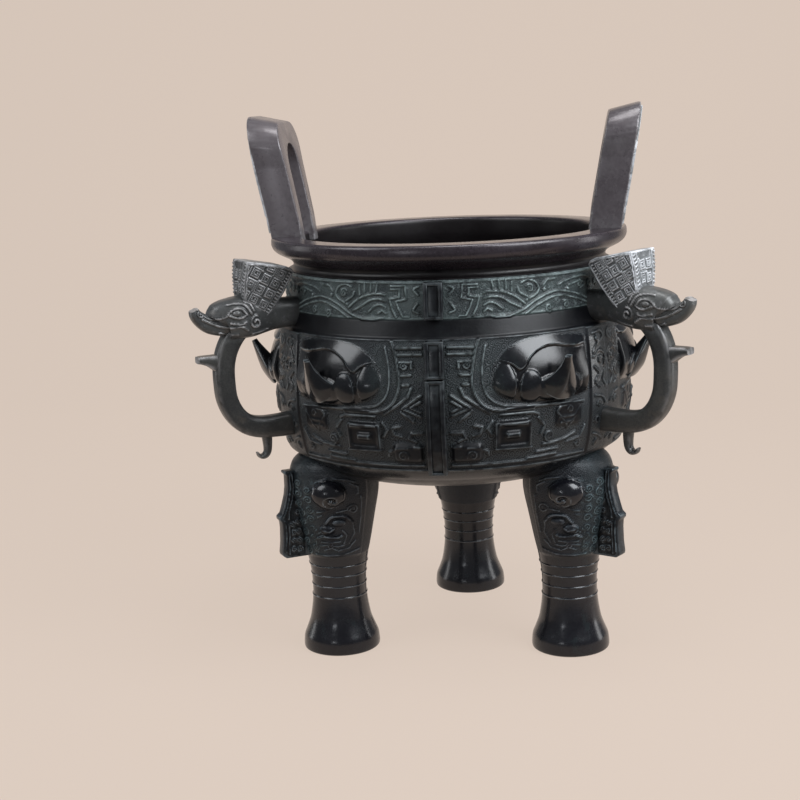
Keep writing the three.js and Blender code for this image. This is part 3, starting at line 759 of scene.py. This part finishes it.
def makePanel(centre):
    rows = np.arange(bowl["panelFoot"], bowl["panelTop"] + 0.1, bowl["rowStep"])
    outer = [(float(wallRadius(z)), float(z)) for z in rows]
    back = [(float(wallRadius(z)) - bowl["panelDepth"], z) for z in bowl["back"]]
    bm = bmesh.new()
    spinProfile(bm, [*outer, *back], bowl["panelSteps"], azimuth=centre - 60, sweep=120.0, face=True)
    piece = finishPiece(bm, f"maskPanel{centre}", bowlBronze, 60)
    points = readPoints(piece.data)
    x, y, z = points[:, 0] / mm, (points[:, 1] - axisY) / mm, points[:, 2] / mm
    radius = np.hypot(x, y)
    turn = (np.degrees(np.arctan2(x, -y)) - centre + 180) % 360 - 180
    front = radius > wallRadius(z) - 1.0
    u = np.abs(turn) * arc
    low, high = front & (z < panel["split"]), front & (z >= panel["split"])
    height, polish, shade = np.zeros((3, len(points)))
    height[low], polish[low], shade[low] = maskHeight(u[low], z[low])
    height[high] = friezeHeight(u[high], z[high])
    scale = (radius + height) / radius
    writePoints(piece.data, np.stack([x * scale * mm, y * scale * mm + axisY, z * mm], axis=1))
    foot, top, friezeFoot, friezeTop = panel["pattern"]
    onMask = (z > foot) & (z < top) & front
    ground = ((height < panel["flat"]) & (onMask | front & (z > friezeFoot) & (z < friezeTop))).astype(float)
    ground = np.maximum(ground, (u > panel["strip"][0] * arc) & onMask & (height < panel["strip"][1]))
    wide, narrow = panel["wave"]
    across = turn * arc + wide * np.sin(z / 13) + narrow * np.sin(u / 7)
    storePattern(piece, across, z + wide * np.sin(u / 15) + narrow * np.sin(z / 6), ground)
    level, near, far = panel["green"]
    border = (1 - ease(np.abs(z - level), near, far)) * (1 - ease(u, 120, 160)) * (z < mask["top"])
    green = ease(z, 796, 799) + 0.3 * border
    shade[high] = 0.65 * (z[high] < frieze["span"][0])
    storeFinishAndShade(piece, np.clip(green, 0, 1) * front, polish, shade)
    storeCurve(piece)


makeBowlShell()
for centre in maskCentres:
    makePanel(centre)
print("bowl made")


# free tips of the horns, standing off the wall

hornTip = {
    "rows": [(36.2, 634, 4, 56, 50), (36.9, 650, 18, 46, 46), (37.3, 668, 30, 33, 36),
             (37.4, 686, 41, 21, 26), (37.2, 702, 51, 13, 18), (37, 714, 58, 10, 13)],
    "sides": 24, "power": 1.25,
}


def makeHornTips():
    bm = bmesh.new()
    for centre in maskCentres:
        for hand in (1, -1):
            rows = smoothPath(hornTip["rows"], 6)
            middle = [place(centre + hand * a, float(wallRadius(z)) + proud, z) for a, z, proud, *_ in rows]
            previous = None
            last = len(rows) - 1
            for i, (a, _, _, half, thick) in enumerate(rows):
                along = (middle[min(i + 1, last)] - middle[max(i - 1, 0)]).normalized()
                out = (place(centre + hand * a, 1, 0) - place(centre + hand * a, 0, 0)).normalized()
                side = out.cross(along).normalized()
                up = along.cross(side)
                ring = bmesh.ops.create_circle(bm, cap_ends=i in (0, last), segments=hornTip["sides"],
                                               radius=1.0)
                ring = ring["verts"]
                for v in ring:
                    for k in (0, 1):
                        v.co[k] = math.copysign(abs(v.co[k]) ** (2 / hornTip["power"]), v.co[k])
                turn = Matrix((side * half * mm, up * thick * 0.5 * mm, along)).transposed().to_4x4()
                bmesh.ops.transform(bm, matrix=Matrix.Translation(middle[i]) @ turn, verts=ring)
                edges = [e for e in bm.edges if e.verts[0] in ring and e.verts[1] in ring]
                if previous:
                    bmesh.ops.bridge_loops(bm, edges=previous + edges)
                previous = edges
    tips = finishPiece(bm, "hornTips", bowlBronze, 45)
    storeCurve(tips)
    storeFinishAndShade(tips, 0.0, 0.9, 0.3)


makeHornTips()
print("horn tips made")


# flanges down the middle of each mask

flange = {
    "proud": 23.0, "sunk": 8, "half": 19.5, "bevel": 1.8, "cap": 7.0, "wallFoot": 474,
    "spans": [(800, 878), (678, 757), (468, 675)],
    "ribs": [(-15.5, 4.5, 0.0), (15.5, 4.5, 0.0), (0.0, 11.5, -4.0)],
}


def makeFlanges():
    bm = bmesh.new()

    def wallAt(z):
        return float(wallRadius(max(z, flange["wallFoot"])))

    for centre in maskCentres:
        for low, high in flange["spans"]:
            for side, half, lower in flange["ribs"]:
                trim = flange["cap"] if lower else 0.0
                rows = np.linspace(low + trim, high - trim, 5)
                outline = [(wallAt(z) - flange["sunk"], z) for z in rows]
                outline += [(wallAt(z) + flange["proud"] + lower, z) for z in rows[::-1]]
                extrudeOutline(bm, centre, outline, lambda z: (side - half, side + half), flange["bevel"])
            tall, wide = flange["cap"] / 2, flange["half"]
            for z in (low + tall, high - tall):
                inner, outer = wallAt(z) - flange["sunk"], wallAt(z) + flange["proud"]
                end = [(inner, z - tall), (outer, z - tall), (outer, z + tall), (inner, z + tall)]
                extrudeOutline(bm, centre, end, lambda z: (-wide, wide), flange["bevel"])
    piece = finishPiece(bm, "bowlFlanges", bowlBronze, 50)
    storeCurve(piece)
    storeFinishAndShade(piece, 0.0, 0.2, 0.55)


makeFlanges()
print("flanges made")


# legs: turned, then carved with a horned mask above the rings

leg = {
    "centre": 309.0, "steps": 204, "rowStep": 2.3, "rings": [130, 156, 182, 206], "maskFoot": 233.0,
    "profile": [(84, 0), (88, 3), (89, 9), (88.6, 18), (86.5, 32), (80, 48), (72.5, 68), (68.5, 86),
                (65, 108), (63, 130), (62.5, 150), (63, 170), (64.5, 188), (68, 210), (72, 232),
                (77.5, 256), (84, 288), (91, 324), (98, 358), (101.5, 384), (101, 412), (98, 434),
                (90, 452), (74, 466)],
    "top": 467, "maskTop": 430, "ringRise": (1.7, 0.5, 2.2), "reach": 1.5, "maskRise": 3.2,
    "lines": (4.4, 2.8), "flat": 4.2,
    # boss, eye and snout: angle, height, half width, half height and rise
    "boss": (61, 388, 33, 33, 22), "eye": (73, 320, 15, 9, 10), "snout": (55, 303, 17, 12, 10),
    "curl": (((66, 375), 3, 17, 0.9, 20), 7, 1.2, 4.5),
    "coils": [((58, 262), 2, 8, 1.3, 0), ((92, 350), 2, 12, 1.5, 0)],
    "lid": ([(54, 318), (64, 335), (82, 334), (92, 318)], 6, 1.6, 4.4),
    "lip": ([(40, 282), (50, 288), (62, 283), (76, 287)], 5, 1.6, 4.6),
}
legMaskLines = [
    [(42, 282), (52, 286), (72, 284)], [(44, 272), (58, 271), (74, 273)], [(52, 303), (60, 300), (66, 306)],
    [(30, 240), (50, 238), (80, 240), (108, 250)], [(84, 330), (92, 316), (96, 292), (88, 268)],
    [(78, 300), (84, 288), (80, 268)], [(70, 250), (88, 256), (98, 272)], [(48, 252), (60, 258), (68, 252)],
    [(42, 294), (47, 299), (50, 293)], [(40, 262), (54, 265), (70, 261), (80, 264)],
    [(104, 290), (105, 330), (103, 378)], [(44, 346), (54, 347), (60, 354)], [(44, 334), (49, 338)],
    [(98, 386), (99, 402), (88, 412)], [(70, 346), (84, 350), (93, 342)], [(43, 404), (44, 416), (60, 425)],
    [(68, 425), (84, 421), (95, 413)], [(36, 246), (36, 300)],
]
legPanelCoils = [((17, z), 2, 10, 1.5, 90 if k % 2 else 250) for k, z in enumerate(range(248, 412, 23))]
legSidePanelCoils = [((33, z), 2, 9, 1.4, 40 if k % 2 else 200) for k, z in enumerate(range(259, 410, 23))]


def makeLeg(azimuth):
    foot = place(azimuth, leg["centre"], 0)
    curve = smoothPath(leg["profile"], 5)
    maskFoot, maskTop, reach = leg["maskFoot"], leg["maskTop"], leg["reach"]
    plain = curve[(curve[:, 1] < maskFoot - 1) | (curve[:, 1] > maskTop)][:, 1]
    heights = np.concatenate([plain, np.arange(maskFoot - 1, maskTop, leg["rowStep"])])
    heights = np.unique(np.concatenate([heights, *[z + np.linspace(-4, 4, 9) for z in leg["rings"]]]))
    radii = np.interp(heights, curve[:, 1], curve[:, 0])
    radii = radii + np.max([edgeRise(heights, (z, *leg["ringRise"])) for z in leg["rings"]], axis=0)
    bm = bmesh.new()
    spinProfile(bm, [(0, 0), *zip(radii, heights), (0, leg["top"])], leg["steps"], centre=foot)
    piece = finishPiece(bm, f"leg{azimuth}", legBronze, 55)
    points = readPoints(piece.data)
    local = (points - np.array(foot)) / mm
    outward = np.array(place(azimuth, 1000, 0) - place(azimuth, 0, 0))
    sideways = np.array(place(azimuth, 0, 0, 1000) - place(azimuth, 0, 0))
    turn = np.degrees(np.arctan2(local @ sideways, local @ outward))
    radius = np.hypot(local[:, 0], local[:, 1])
    z = points[:, 2] / mm
    u = np.abs(turn) * reach
    carved = (z > maskFoot - 1) & (radius > 60)

    def onLeg(path):
        return [(a * reach, y) for a, y in path]

    def coilOnLeg(centre, *rest):
        return coilPath((centre[0] * reach, centre[1]), *rest)

    def ridge(label):
        path, rise, near, far = leg[label]
        return rise * (1 - ease(strokeDistance(u, z, smoothPath(onLeg(path), 5)), near, far))

    def dome(label):
        a, middle, half, tall, rise = leg[label]
        return rise * np.sqrt(np.clip(1 - ((u - a * reach) / half) ** 2 - ((z - middle) / tall) ** 2, 0, 1))

    ground = leg["maskRise"] * ease(z, maskFoot - 1, 236) * (1 - ease(np.abs(turn), 112, 116))
    lines = [onLeg(path) for path in legMaskLines]
    lines += [coilOnLeg(*coil) for coil in legPanelCoils + legSidePanelCoils + leg["coils"]]
    height = np.where(carved, ground, 0) + np.where(carved, drawStrokes(u, z, lines, *leg["lines"]), 0)
    coil, depth, near, far = leg["curl"]
    boss = dome("boss")
    boss = boss - depth * (1 - ease(strokeDistance(u, z, coilOnLeg(*coil)), near, far)) * (boss > 6)
    brow = ridge("lid") + ridge("lip")
    height = height + np.where(carved, np.maximum.reduce([boss, dome("eye"), brow, dome("snout")]), 0)
    scale = (radius + height) / np.maximum(radius, 1e-3)
    local[:, 0] *= scale
    local[:, 1] *= scale
    writePoints(piece.data, local * mm + np.array(foot))
    storePattern(piece, turn * reach, z, (carved & (height < leg["flat"])).astype(float))
    smooth = np.maximum(1.0 * (boss > 2), 0.9 * (z < maskFoot - 1))
    green = carved * (smooth == 0) * (1 - ease(np.abs(turn), 28, 60))
    # the top of the leg, just under the bowl, is darkened as painted shade
    storeFinishAndShade(piece, green, smooth, 0.45 * ease(z, 410, 432))
    storeCurve(piece)


legFlange = {
    "half": 14.0, "bevel": 2.2, "reach": 430.0,
    "outline": [(0, 435), (3, 435), (4, 430), (-2, 424), (-2, 396), (1, 376), (8, 352), (13, 337),
                (21, 330), (21, 324), (15, 316), (14, 300), (15, 268), (18, 244), (17, 238), (9, 232)],
    "levels": (236, 244, 268, 316, 328, 352, 396, 424, 432), "edge": (14, 17, 15, 14, 20, 8, -2, -2, 1),
}
legFlangeLines = [
    [(424, 428), (422, 396), (426, 372), (434, 346), (442, 330)], [(438, 318), (437, 286), (440, 246)],
    [(418, 428), (415, 398), (419, 370), (428, 342), (430, 324)], [(430, 312), (430, 282), (432, 242)],
    *[coilPath((407, z), 1.5, 7.5, 1.5, 90 * k) for k, z in enumerate(range(250, 420, 22))],
    *[coilPath((421, z), 1.5, 6.5, 1.3, 90 * k) for k, z in enumerate(range(252, 320, 20))],
]


def makeLegFlanges():
    bm = bmesh.new()
    reach, half = legFlange["reach"], legFlange["half"]
    for azimuth in legAzimuths:
        outline = [(330, 435)] + [(reach + r, z) for r, z in legFlange["outline"]] + [(330, 232)]
        extrudeOutline(bm, azimuth, outline, lambda z: (-half, half), legFlange["bevel"])
        for hand in (1, -1):
            addCarvedSheet(
                bm, (392, 446), (236, 432), (22, 78),
                lambda r, z: r < reach - 4 + np.interp(z, legFlange["levels"], legFlange["edge"]),
                legFlangeLines, (4.2, 2.4),
                lambda r, z, rise: place(azimuth, r, z, hand * (half + rise)),
            )
    piece = finishPiece(bm, "legFlanges", legBronze, 50)
    storeCurve(piece)
    storeFinishAndShade(piece, 0.3, 0.2)


for azimuth in legAzimuths:
    makeLeg(azimuth)
makeLegFlanges()
print("legs made")


# ears on the rim, leaning out, with an arched hole

ear = {
    "height": 265.0, "inner": 323.0, "thick": 72.0, "halfBase": 101.0, "halfTop": 119.0, "lean": 49.0,
    "corner": 62.0, "holeHalf": 58.0, "holeTop": 213.0, "sink": 22.0, "bevel": 4.0, "rim": 955.0,
    "slope": 16.0,
}


def earSide(z):
    return ear["halfBase"] + (ear["halfTop"] - ear["halfBase"]) * z / ear["height"]


def earPlace(hand, y, z, depth):
    high = max(z, 0) / ear["height"]
    slope = ear["slope"] * high ** 3 * (depth / ear["thick"] - 0.4)
    x = hand * (ear["inner"] + depth + ear["lean"] * high)
    return Vector((x * mm, y * mm + axisY, (ear["rim"] + z + slope) * mm))


def makeEar(hand):
    top, corner, hole, sink = ear["height"], ear["corner"], ear["holeHalf"], ear["sink"]
    right = [(earSide(z), z) for z in (-sink, 40, 110, 160)]
    bend = [(ear["halfTop"] - corner * (1 - math.sin(t)), top - corner * (1 - math.cos(t)))
            for t in np.linspace(math.pi / 2, 0, 9)]
    arch = [(hole * math.cos(t), ear["holeTop"] - hole + hole * math.sin(t))
            for t in np.linspace(0, math.pi, 17)]
    outline = right + bend + [(-y, z) for y, z in reversed(right + bend)]
    outline += [(-hole, -sink), (-hole, 60), *arch[::-1], (hole, 60), (hole, -sink)]
    bm = bmesh.new()
    face = bm.faces.new([bm.verts.new((y, z, 0)) for y, z in outline])
    moved = bmesh.ops.extrude_face_region(bm, geom=[face], use_keep_orig=True)["geom"]
    fresh = [v for v in moved if isinstance(v, bmesh.types.BMVert)]
    bmesh.ops.translate(bm, verts=fresh, vec=(0, 0, ear["thick"]))
    bmesh.ops.bevel(bm, geom=list(bm.edges), offset=ear["bevel"], offset_type="OFFSET", segments=3,
                    profile=0.5, affect="EDGES", material=-1, clamp_overlap=True)
    for v in bm.verts:
        v.co = earPlace(hand, v.co.x, v.co.y, v.co.z)
    piece = finishPiece(bm, f"ear{hand}", earBronze, 30)
    storeCurve(piece)
    storeFinishAndShade(piece, 0.0, 1.0)


earLines = [
    [(70, 6), (74, 60), (80, 120), (84, 170), (74, 214), (40, 240), (4, 244)],
    [(98, 10), (100, 70), (104, 130), (104, 176), (92, 222), (56, 252), (30, 254)],
]
earCoils = [
    ((85, 30), 3, 13, 1.4, 0), ((89, 78), 3, 13, 1.4, 180), ((93, 128), 3, 13, 1.4, 0),
    ((94, 176), 3, 13, 1.4, 180), ((74, 226), 3, 12, 1.4, 60), ((36, 246), 2, 10, 1.3, 0),
]


def makeEarFace(hand):
    # carved outer face: dragons and coils in raised lines round the hole
    arch = ear["holeTop"] - ear["holeHalf"]
    edge = ear["holeHalf"] + 6

    def kept(y, z):
        inHole = abs(y) < edge if z < arch else math.hypot(y, z - arch) < edge
        cornerY = abs(y) - (ear["halfTop"] - ear["corner"])
        cornerZ = z - (ear["height"] - ear["corner"])
        outside = cornerY > 0 and cornerZ > 0 and math.hypot(cornerY, cornerZ) > ear["corner"] - 6
        return not (inHole or outside or abs(y) > earSide(z) - 5)

    bm = bmesh.new()
    half = [*earLines, *[coilPath(*coil) for coil in earCoils]]
    strokes = half + [np.array(path) * [-1, 1] for path in half]
    addCarvedSheet(bm, (-ear["halfTop"], ear["halfTop"]), (3, ear["height"] - 9), (96, 106), kept, strokes,
                   (6.5, 4.2), lambda y, z, rise: earPlace(hand, y, z, ear["thick"] + 0.6 + rise))
    piece = finishPiece(bm, f"earFace{hand}", handleBronze, 60)
    storeCurve(piece)
    storeFinishAndShade(piece, 0.8, 0.0)


for hand in (1, -1):
    makeEar(hand)
    makeEarFace(hand)
print("ears made")


# handles: an arm, an animal head with crests, a hook and a spur

handle = {
    "arm": [(500, 782, 45, 46), (527, 760, 45, 46), (547, 728, 45, 46), (557, 692, 45, 46),
            (558, 652, 45, 46), (554, 614, 45, 46), (539, 580, 45, 46), (515, 556, 46, 46),
            (484, 545, 48, 46), (445, 543, 50, 46), (390, 545, 54, 48)],
    "head": [(372, 798, 64, 54), (430, 798, 70, 58), (462, 798, 82, 68), (490, 797, 92, 80),
             (513, 796, 94, 84), (533, 794, 92, 80), (550, 791, 90, 72), (555, 789, 84, 64),
             (558.5, 785, 56, 48), (568, 783, 47, 42), (586, 786.5, 41, 38), (602, 796, 34, 35),
             (613, 808, 28, 34), (618, 820, 20, 32)],
    "hook": [(552, 692, 54, 36), (572, 699, 40, 36), (591, 705, 26, 34), (606, 708, 19, 32),
             (617, 708.5, 15, 31)],
    "spur": [(467, 528, 24, 26), (466, 500, 19, 24), (468, 484, 16, 22), (476, 476, 13, 22),
             (486, 477, 9, 20), (491, 485, 5, 18)],
    "sweeps": {"arm": (5, 40, 4.0), "head": (9, 112, 3.0), "hook": (4, 16, 5), "spur": (4, 16, 3)},
    "eye": (530, 809, 37.5), "eyeSize": (11, 8, 7.5), "armTop": 752, "faceFrom": (9, 17),
    "lines": (6.0, 3.4),
}
crest = {
    "outline": [(473, 773), (442, 812), (419, 848), (398, 890), (402, 898), (416, 905), (451, 912),
                (480, 918), (506, 921), (511, 884), (513, 839)],
    "foot": 773, "top": 921, "footHalf": 27, "topHalf": 52, "slope": (0.54, 0.842),
    "outer": ((773, 839, 884, 921), (471, 511, 508, 503)), "face": ((839, 884, 921), (513, 511, 506)),
    # verdigris on each crest's sides: real patina, and the right crest gets more than the left as painted
    # light from the right
    "green": {60: 1.0, 180: 0.6, 300: 0.36},
}


def squareCoil(centre, reach, turns, quarter):
    # a square spiral from the outside in
    points = []
    for k in range(4 * turns + 1):
        r = reach * math.sqrt(2) * (1 - k / (4 * turns + 2))
        a = math.radians(45 + 90 * (k + quarter))
        points.append((centre[0] + r * math.cos(a), centre[1] + r * math.sin(a)))
    return points


headLines = [
    # path, steps of its curve, width and rise
    ([(509, 806), (521, 818), (537, 819), (551, 808), (536, 800), (521, 799), (509, 806)], 6, 5.0, 3.4),
    ([(498, 806), (512, 826), (532, 831), (549, 829)], 6, 6.0, 3.6),
    ([(492, 812), (500, 828), (512, 834)], 6, 5.0, 2.6),
    ([(508, 770), (524, 779), (544, 777), (572, 783), (604, 799)], 6, 5.5, 3.2),
    ([(512, 788), (526, 784), (546, 788)], 6, 5.0, 2.8),
    ([(550, 808), (560, 801), (586, 799), (604, 812), (615, 824)], 6, 5.0, 2.6),
    ([(460, 768), (476, 764), (496, 760)], 4, 6.0, 3.0),
    ([(530, 762), (550, 761), (568, 766)], 4, 6.0, 3.0),
]
headCoils = [
    (coilPath((488, 786), 4, 15, 1.2, 30), 5.5, 3.2), (coilPath((606, 811), 2, 8, 1.2, 0), 4.0, 2.8),
]


def crestPoint(along, inward):
    # a place on the crest's side, measured along its sloping inner edge and square to it
    down, up = crest["slope"]
    return (473 - down * along + up * inward, 773 + up * along + down * inward)


crestLines = [
    (smoothPath([(476, 781), (448, 814), (424, 849), (405, 886)], 4), 4.4, 2.6),
    ([(406, 896), (452, 907), (500, 915)], 4.4, 2.6),
    (smoothPath([(504, 912), (507, 880), (508, 842)], 4), 4.4, 2.6),
    *[([crestPoint(s, 3.5), crestPoint(s, 10)], 3.6, 2.2) for s in range(6, 140, 7)],
    *[([crestPoint(s + a, t + b) for a, b in squareCoil((0, 0), 11.5, 2, i + 2 * j)], 4.8, 2.8)
      for i, s in enumerate(range(18, 200, 26)) for j, t in enumerate(range(24, 140, 26))],
]
crestEdgeLines = [
    *[[(-46, z), (-38, z + 3)] for z in range(848, 918, 8)],
    *[[(38, z + 3), (46, z)] for z in range(848, 918, 8)],
    [(-34, 846), (-34, 917)], [(34, 846), (34, 917)],
    *[squareCoil((y, z), 12.0, 2, k + n) for k, z in enumerate((862, 892))
      for n, y in enumerate((-15, 15))],
]


def crestHalf(z):
    widening = crest["topHalf"] - crest["footHalf"]
    return crest["footHalf"] + widening * (z - crest["foot"]) / (crest["top"] - crest["foot"])


def makeHandle(azimuth):
    bm = bmesh.new()
    for label, (steps, sides, power) in handle["sweeps"].items():
        sweepRings(bm, azimuth, smoothPath(handle[label], steps), sides, power)
    out = place(azimuth, 1000, 0) - place(azimuth, 0, 0)
    aside = place(azimuth, 0, 0, 1000) - place(azimuth, 0, 0)
    r, z, side = handle["eye"]
    long, wide, tall = handle["eyeSize"]
    turn = Matrix((out * long * mm, aside * wide * mm, Vector((0, 0, tall * mm)))).transposed().to_4x4()
    for hand in (1, -1):
        ball = bmesh.ops.create_uvsphere(bm, u_segments=24, v_segments=14, radius=1.0)["verts"]
        spot = Matrix.Translation(place(azimuth, r, z, hand * side))
        bmesh.ops.transform(bm, matrix=spot @ turn, verts=ball)
    piece = finishPiece(bm, f"handle{azimuth}", handleBronze, 40)
    points = readPoints(piece.data)
    local = (points - np.array(axis)) / mm
    sideways = np.array(aside)
    away, level, sideDistance = local @ np.array(out), local[:, 2], local @ sideways
    onFace = (level > handle["armTop"]) * ease(np.abs(sideDistance), *handle["faceFrom"])
    lines = [(smoothPath(path, steps), width, rise) for path, steps, width, rise in headLines] + headCoils
    rise = drawStrokes(away, level, lines, *handle["lines"]) * onFace
    writePoints(piece.data, points + (np.sign(sideDistance) * rise)[:, None] * sideways * mm)
    storeCurve(piece)
    storeFinishAndShade(piece, 0.12 * (level > 745) + 0.05, 0.3 * (level < handle["armTop"]) + 0.4)


def makeCrest(azimuth):
    # a wedge that opens upwards, with spirals raised on its sides and its outer face
    bm = bmesh.new()
    extrudeOutline(bm, azimuth, crest["outline"], lambda z: (-crestHalf(z), crestHalf(z)), 2.5)
    inner, levels = zip(*crest["outline"][:4])
    tops, topLevels = zip(*crest["outline"][3:9])

    def kept(r, z):
        inside = r > np.interp(z, levels, inner) + 3 and r < np.interp(z, *crest["outer"])
        return inside and z < np.interp(r, tops, topLevels) - 3

    def onOuterFace(y, z, rise):
        return place(azimuth, np.interp(z, *crest["face"]) + rise, z, y / 50 * crestHalf(z))

    for hand in (1, -1):
        addCarvedSheet(bm, (398, 512), (776, 920), (60, 74), kept, crestLines, (4.2, 2.6),
                       lambda r, z, rise: place(azimuth, r, z, hand * (crestHalf(z) + rise)))
    addCarvedSheet(bm, (-48, 48), (842, 918), (64, 50), lambda y, z: True, crestEdgeLines, (4.4, 2.6),
                   onOuterFace)
    piece = finishPiece(bm, f"crest{azimuth}", handleBronze, 55)
    storeCurve(piece)
    # the crest's verdigris amount also paints the right crest lit and the left one shaded
    storeFinishAndShade(piece, crest["green"][azimuth], 0.0)


for azimuth in legAzimuths:
    makeHandle(azimuth)
    makeCrest(azimuth)
print("handles made")


# floor, light and camera

studio = {
    "paper": (0.06, 0.051, 0.045), "glow": (0.635, 0.533, 0.460), "world": (0.86, 0.88, 0.92),
    "worldStrength": 0.22, "wallAt": 2.4, "bend": 1.0, "width": 2.7, "near": -1.2, "tall": 4.0,
    "roughness": 0.9, "specular": 0.1,
}


def makeFloor():
    bm = bmesh.new()
    wallAt, bend = studio["wallAt"], studio["bend"]
    profile = [(studio["near"], 0.0)]
    for t in np.linspace(0, math.pi / 2, 13):
        profile.append((wallAt + bend * math.sin(t), bend * (1 - math.cos(t))))
    profile.append((wallAt + bend, studio["tall"]))
    verts = [bm.verts.new((-studio["width"], y, z)) for y, z in profile]
    edges = [bm.edges.new(pair) for pair in zip(verts, verts[1:])]
    moved = bmesh.ops.extrude_edge_only(bm, edges=edges)["geom"]
    fresh = [v for v in moved if isinstance(v, bmesh.types.BMVert)]
    bmesh.ops.translate(bm, verts=fresh, vec=(2 * studio["width"], 0, 0))
    bmesh.ops.recalc_face_normals(bm, faces=bm.faces)
    mesh = bpy.data.meshes.new("floor")
    bm.to_mesh(mesh)
    bm.free()
    mesh.shade_smooth()
    floor = bpy.data.objects.new("floor", mesh)
    bpy.context.scene.collection.objects.link(floor)
    paper = bpy.data.materials.new("palePaper")
    paper.use_nodes = True
    shader = paper.node_tree.nodes["Principled BSDF"].inputs
    shader["Base Color"].default_value = (*studio["paper"], 1)
    shader["Roughness"].default_value = studio["roughness"]
    shader["Specular IOR Level"].default_value = studio["specular"]
    shader["Emission Color"].default_value = (*studio["glow"], 1)
    shader["Emission Strength"].default_value = 1.0
    mesh.materials.append(paper)


def addLight(name, spot, aim, size, power, colour=(1, 1, 1)):
    data = bpy.data.lights.new(name, "AREA")
    data.shape = "RECTANGLE"
    data.size, data.size_y = size
    data.energy = power
    data.color = colour
    lamp = bpy.data.objects.new(name, data)
    lamp.location = spot
    lamp.rotation_euler = (Vector(aim) - Vector(spot)).to_track_quat("-Z", "Y").to_euler()
    bpy.context.scene.collection.objects.link(lamp)


view = {
    "spot": (0.3316, -3.5862 + axisY, 1.2537), "forward": (-0.1248, 0.9738, -0.1903), "roll": -0.0398,
    "lens": 69.69,
}


def makeCamera():
    data = bpy.data.cameras.new("camera")
    data.lens = view["lens"]
    data.sensor_width = 36.0
    data.clip_start, data.clip_end = 0.05, 60
    forward = Vector(view["forward"]).normalized()
    right = forward.cross(Vector((0, 0, 1))).normalized()
    up = right.cross(forward)
    c, s = math.cos(view["roll"]), math.sin(view["roll"])
    right, up = right * c + up * s, up * c - right * s
    camera = bpy.data.objects.new("camera", data)
    turn = Matrix((right, up, -forward)).transposed().to_4x4()
    camera.matrix_world = Matrix.Translation(view["spot"]) @ turn
    bpy.context.scene.collection.objects.link(camera)
    bpy.context.scene.camera = camera


makeFloor()
world = bpy.data.worlds.new("studio")
world.use_nodes = True
world.node_tree.nodes["Background"].inputs["Color"].default_value = (*studio["world"], 1)
world.node_tree.nodes["Background"].inputs["Strength"].default_value = studio["worldStrength"]
bpy.context.scene.world = world
addLight("overhead", (0.3, -0.4, 3.4), (0, -0.1, 0.7), (1.4, 1.0), 38)
addLight("windowRight", (1.78, -1.32, 2.22), (0.24, -0.33, 0.72), (1.7, 1.6), 86, (0.94, 0.97, 1.0))
addLight("windowLeft", (-1.78, -1.32, 2.22), (-0.24, -0.33, 0.72), (1.4, 1.4), 30, (0.96, 0.98, 1.0))
addLight("rightTall", (2.9, 0.3, 0.9), (0.1, 0, 0.6), (0.6, 1.9), 16)
addLight("leftTall", (-2.9, 0.2, 0.9), (-0.1, 0, 0.6), (0.5, 1.7), 8)
addLight("earGlint", (-1.07, -3.1, 0.80), (-0.42, -0.15, 1.16), (0.4, 0.3), 4, (0.93, 0.96, 1.0))
bpy.context.scene.view_settings.view_transform = "Standard"
makeCamera()
print("camera and light set")
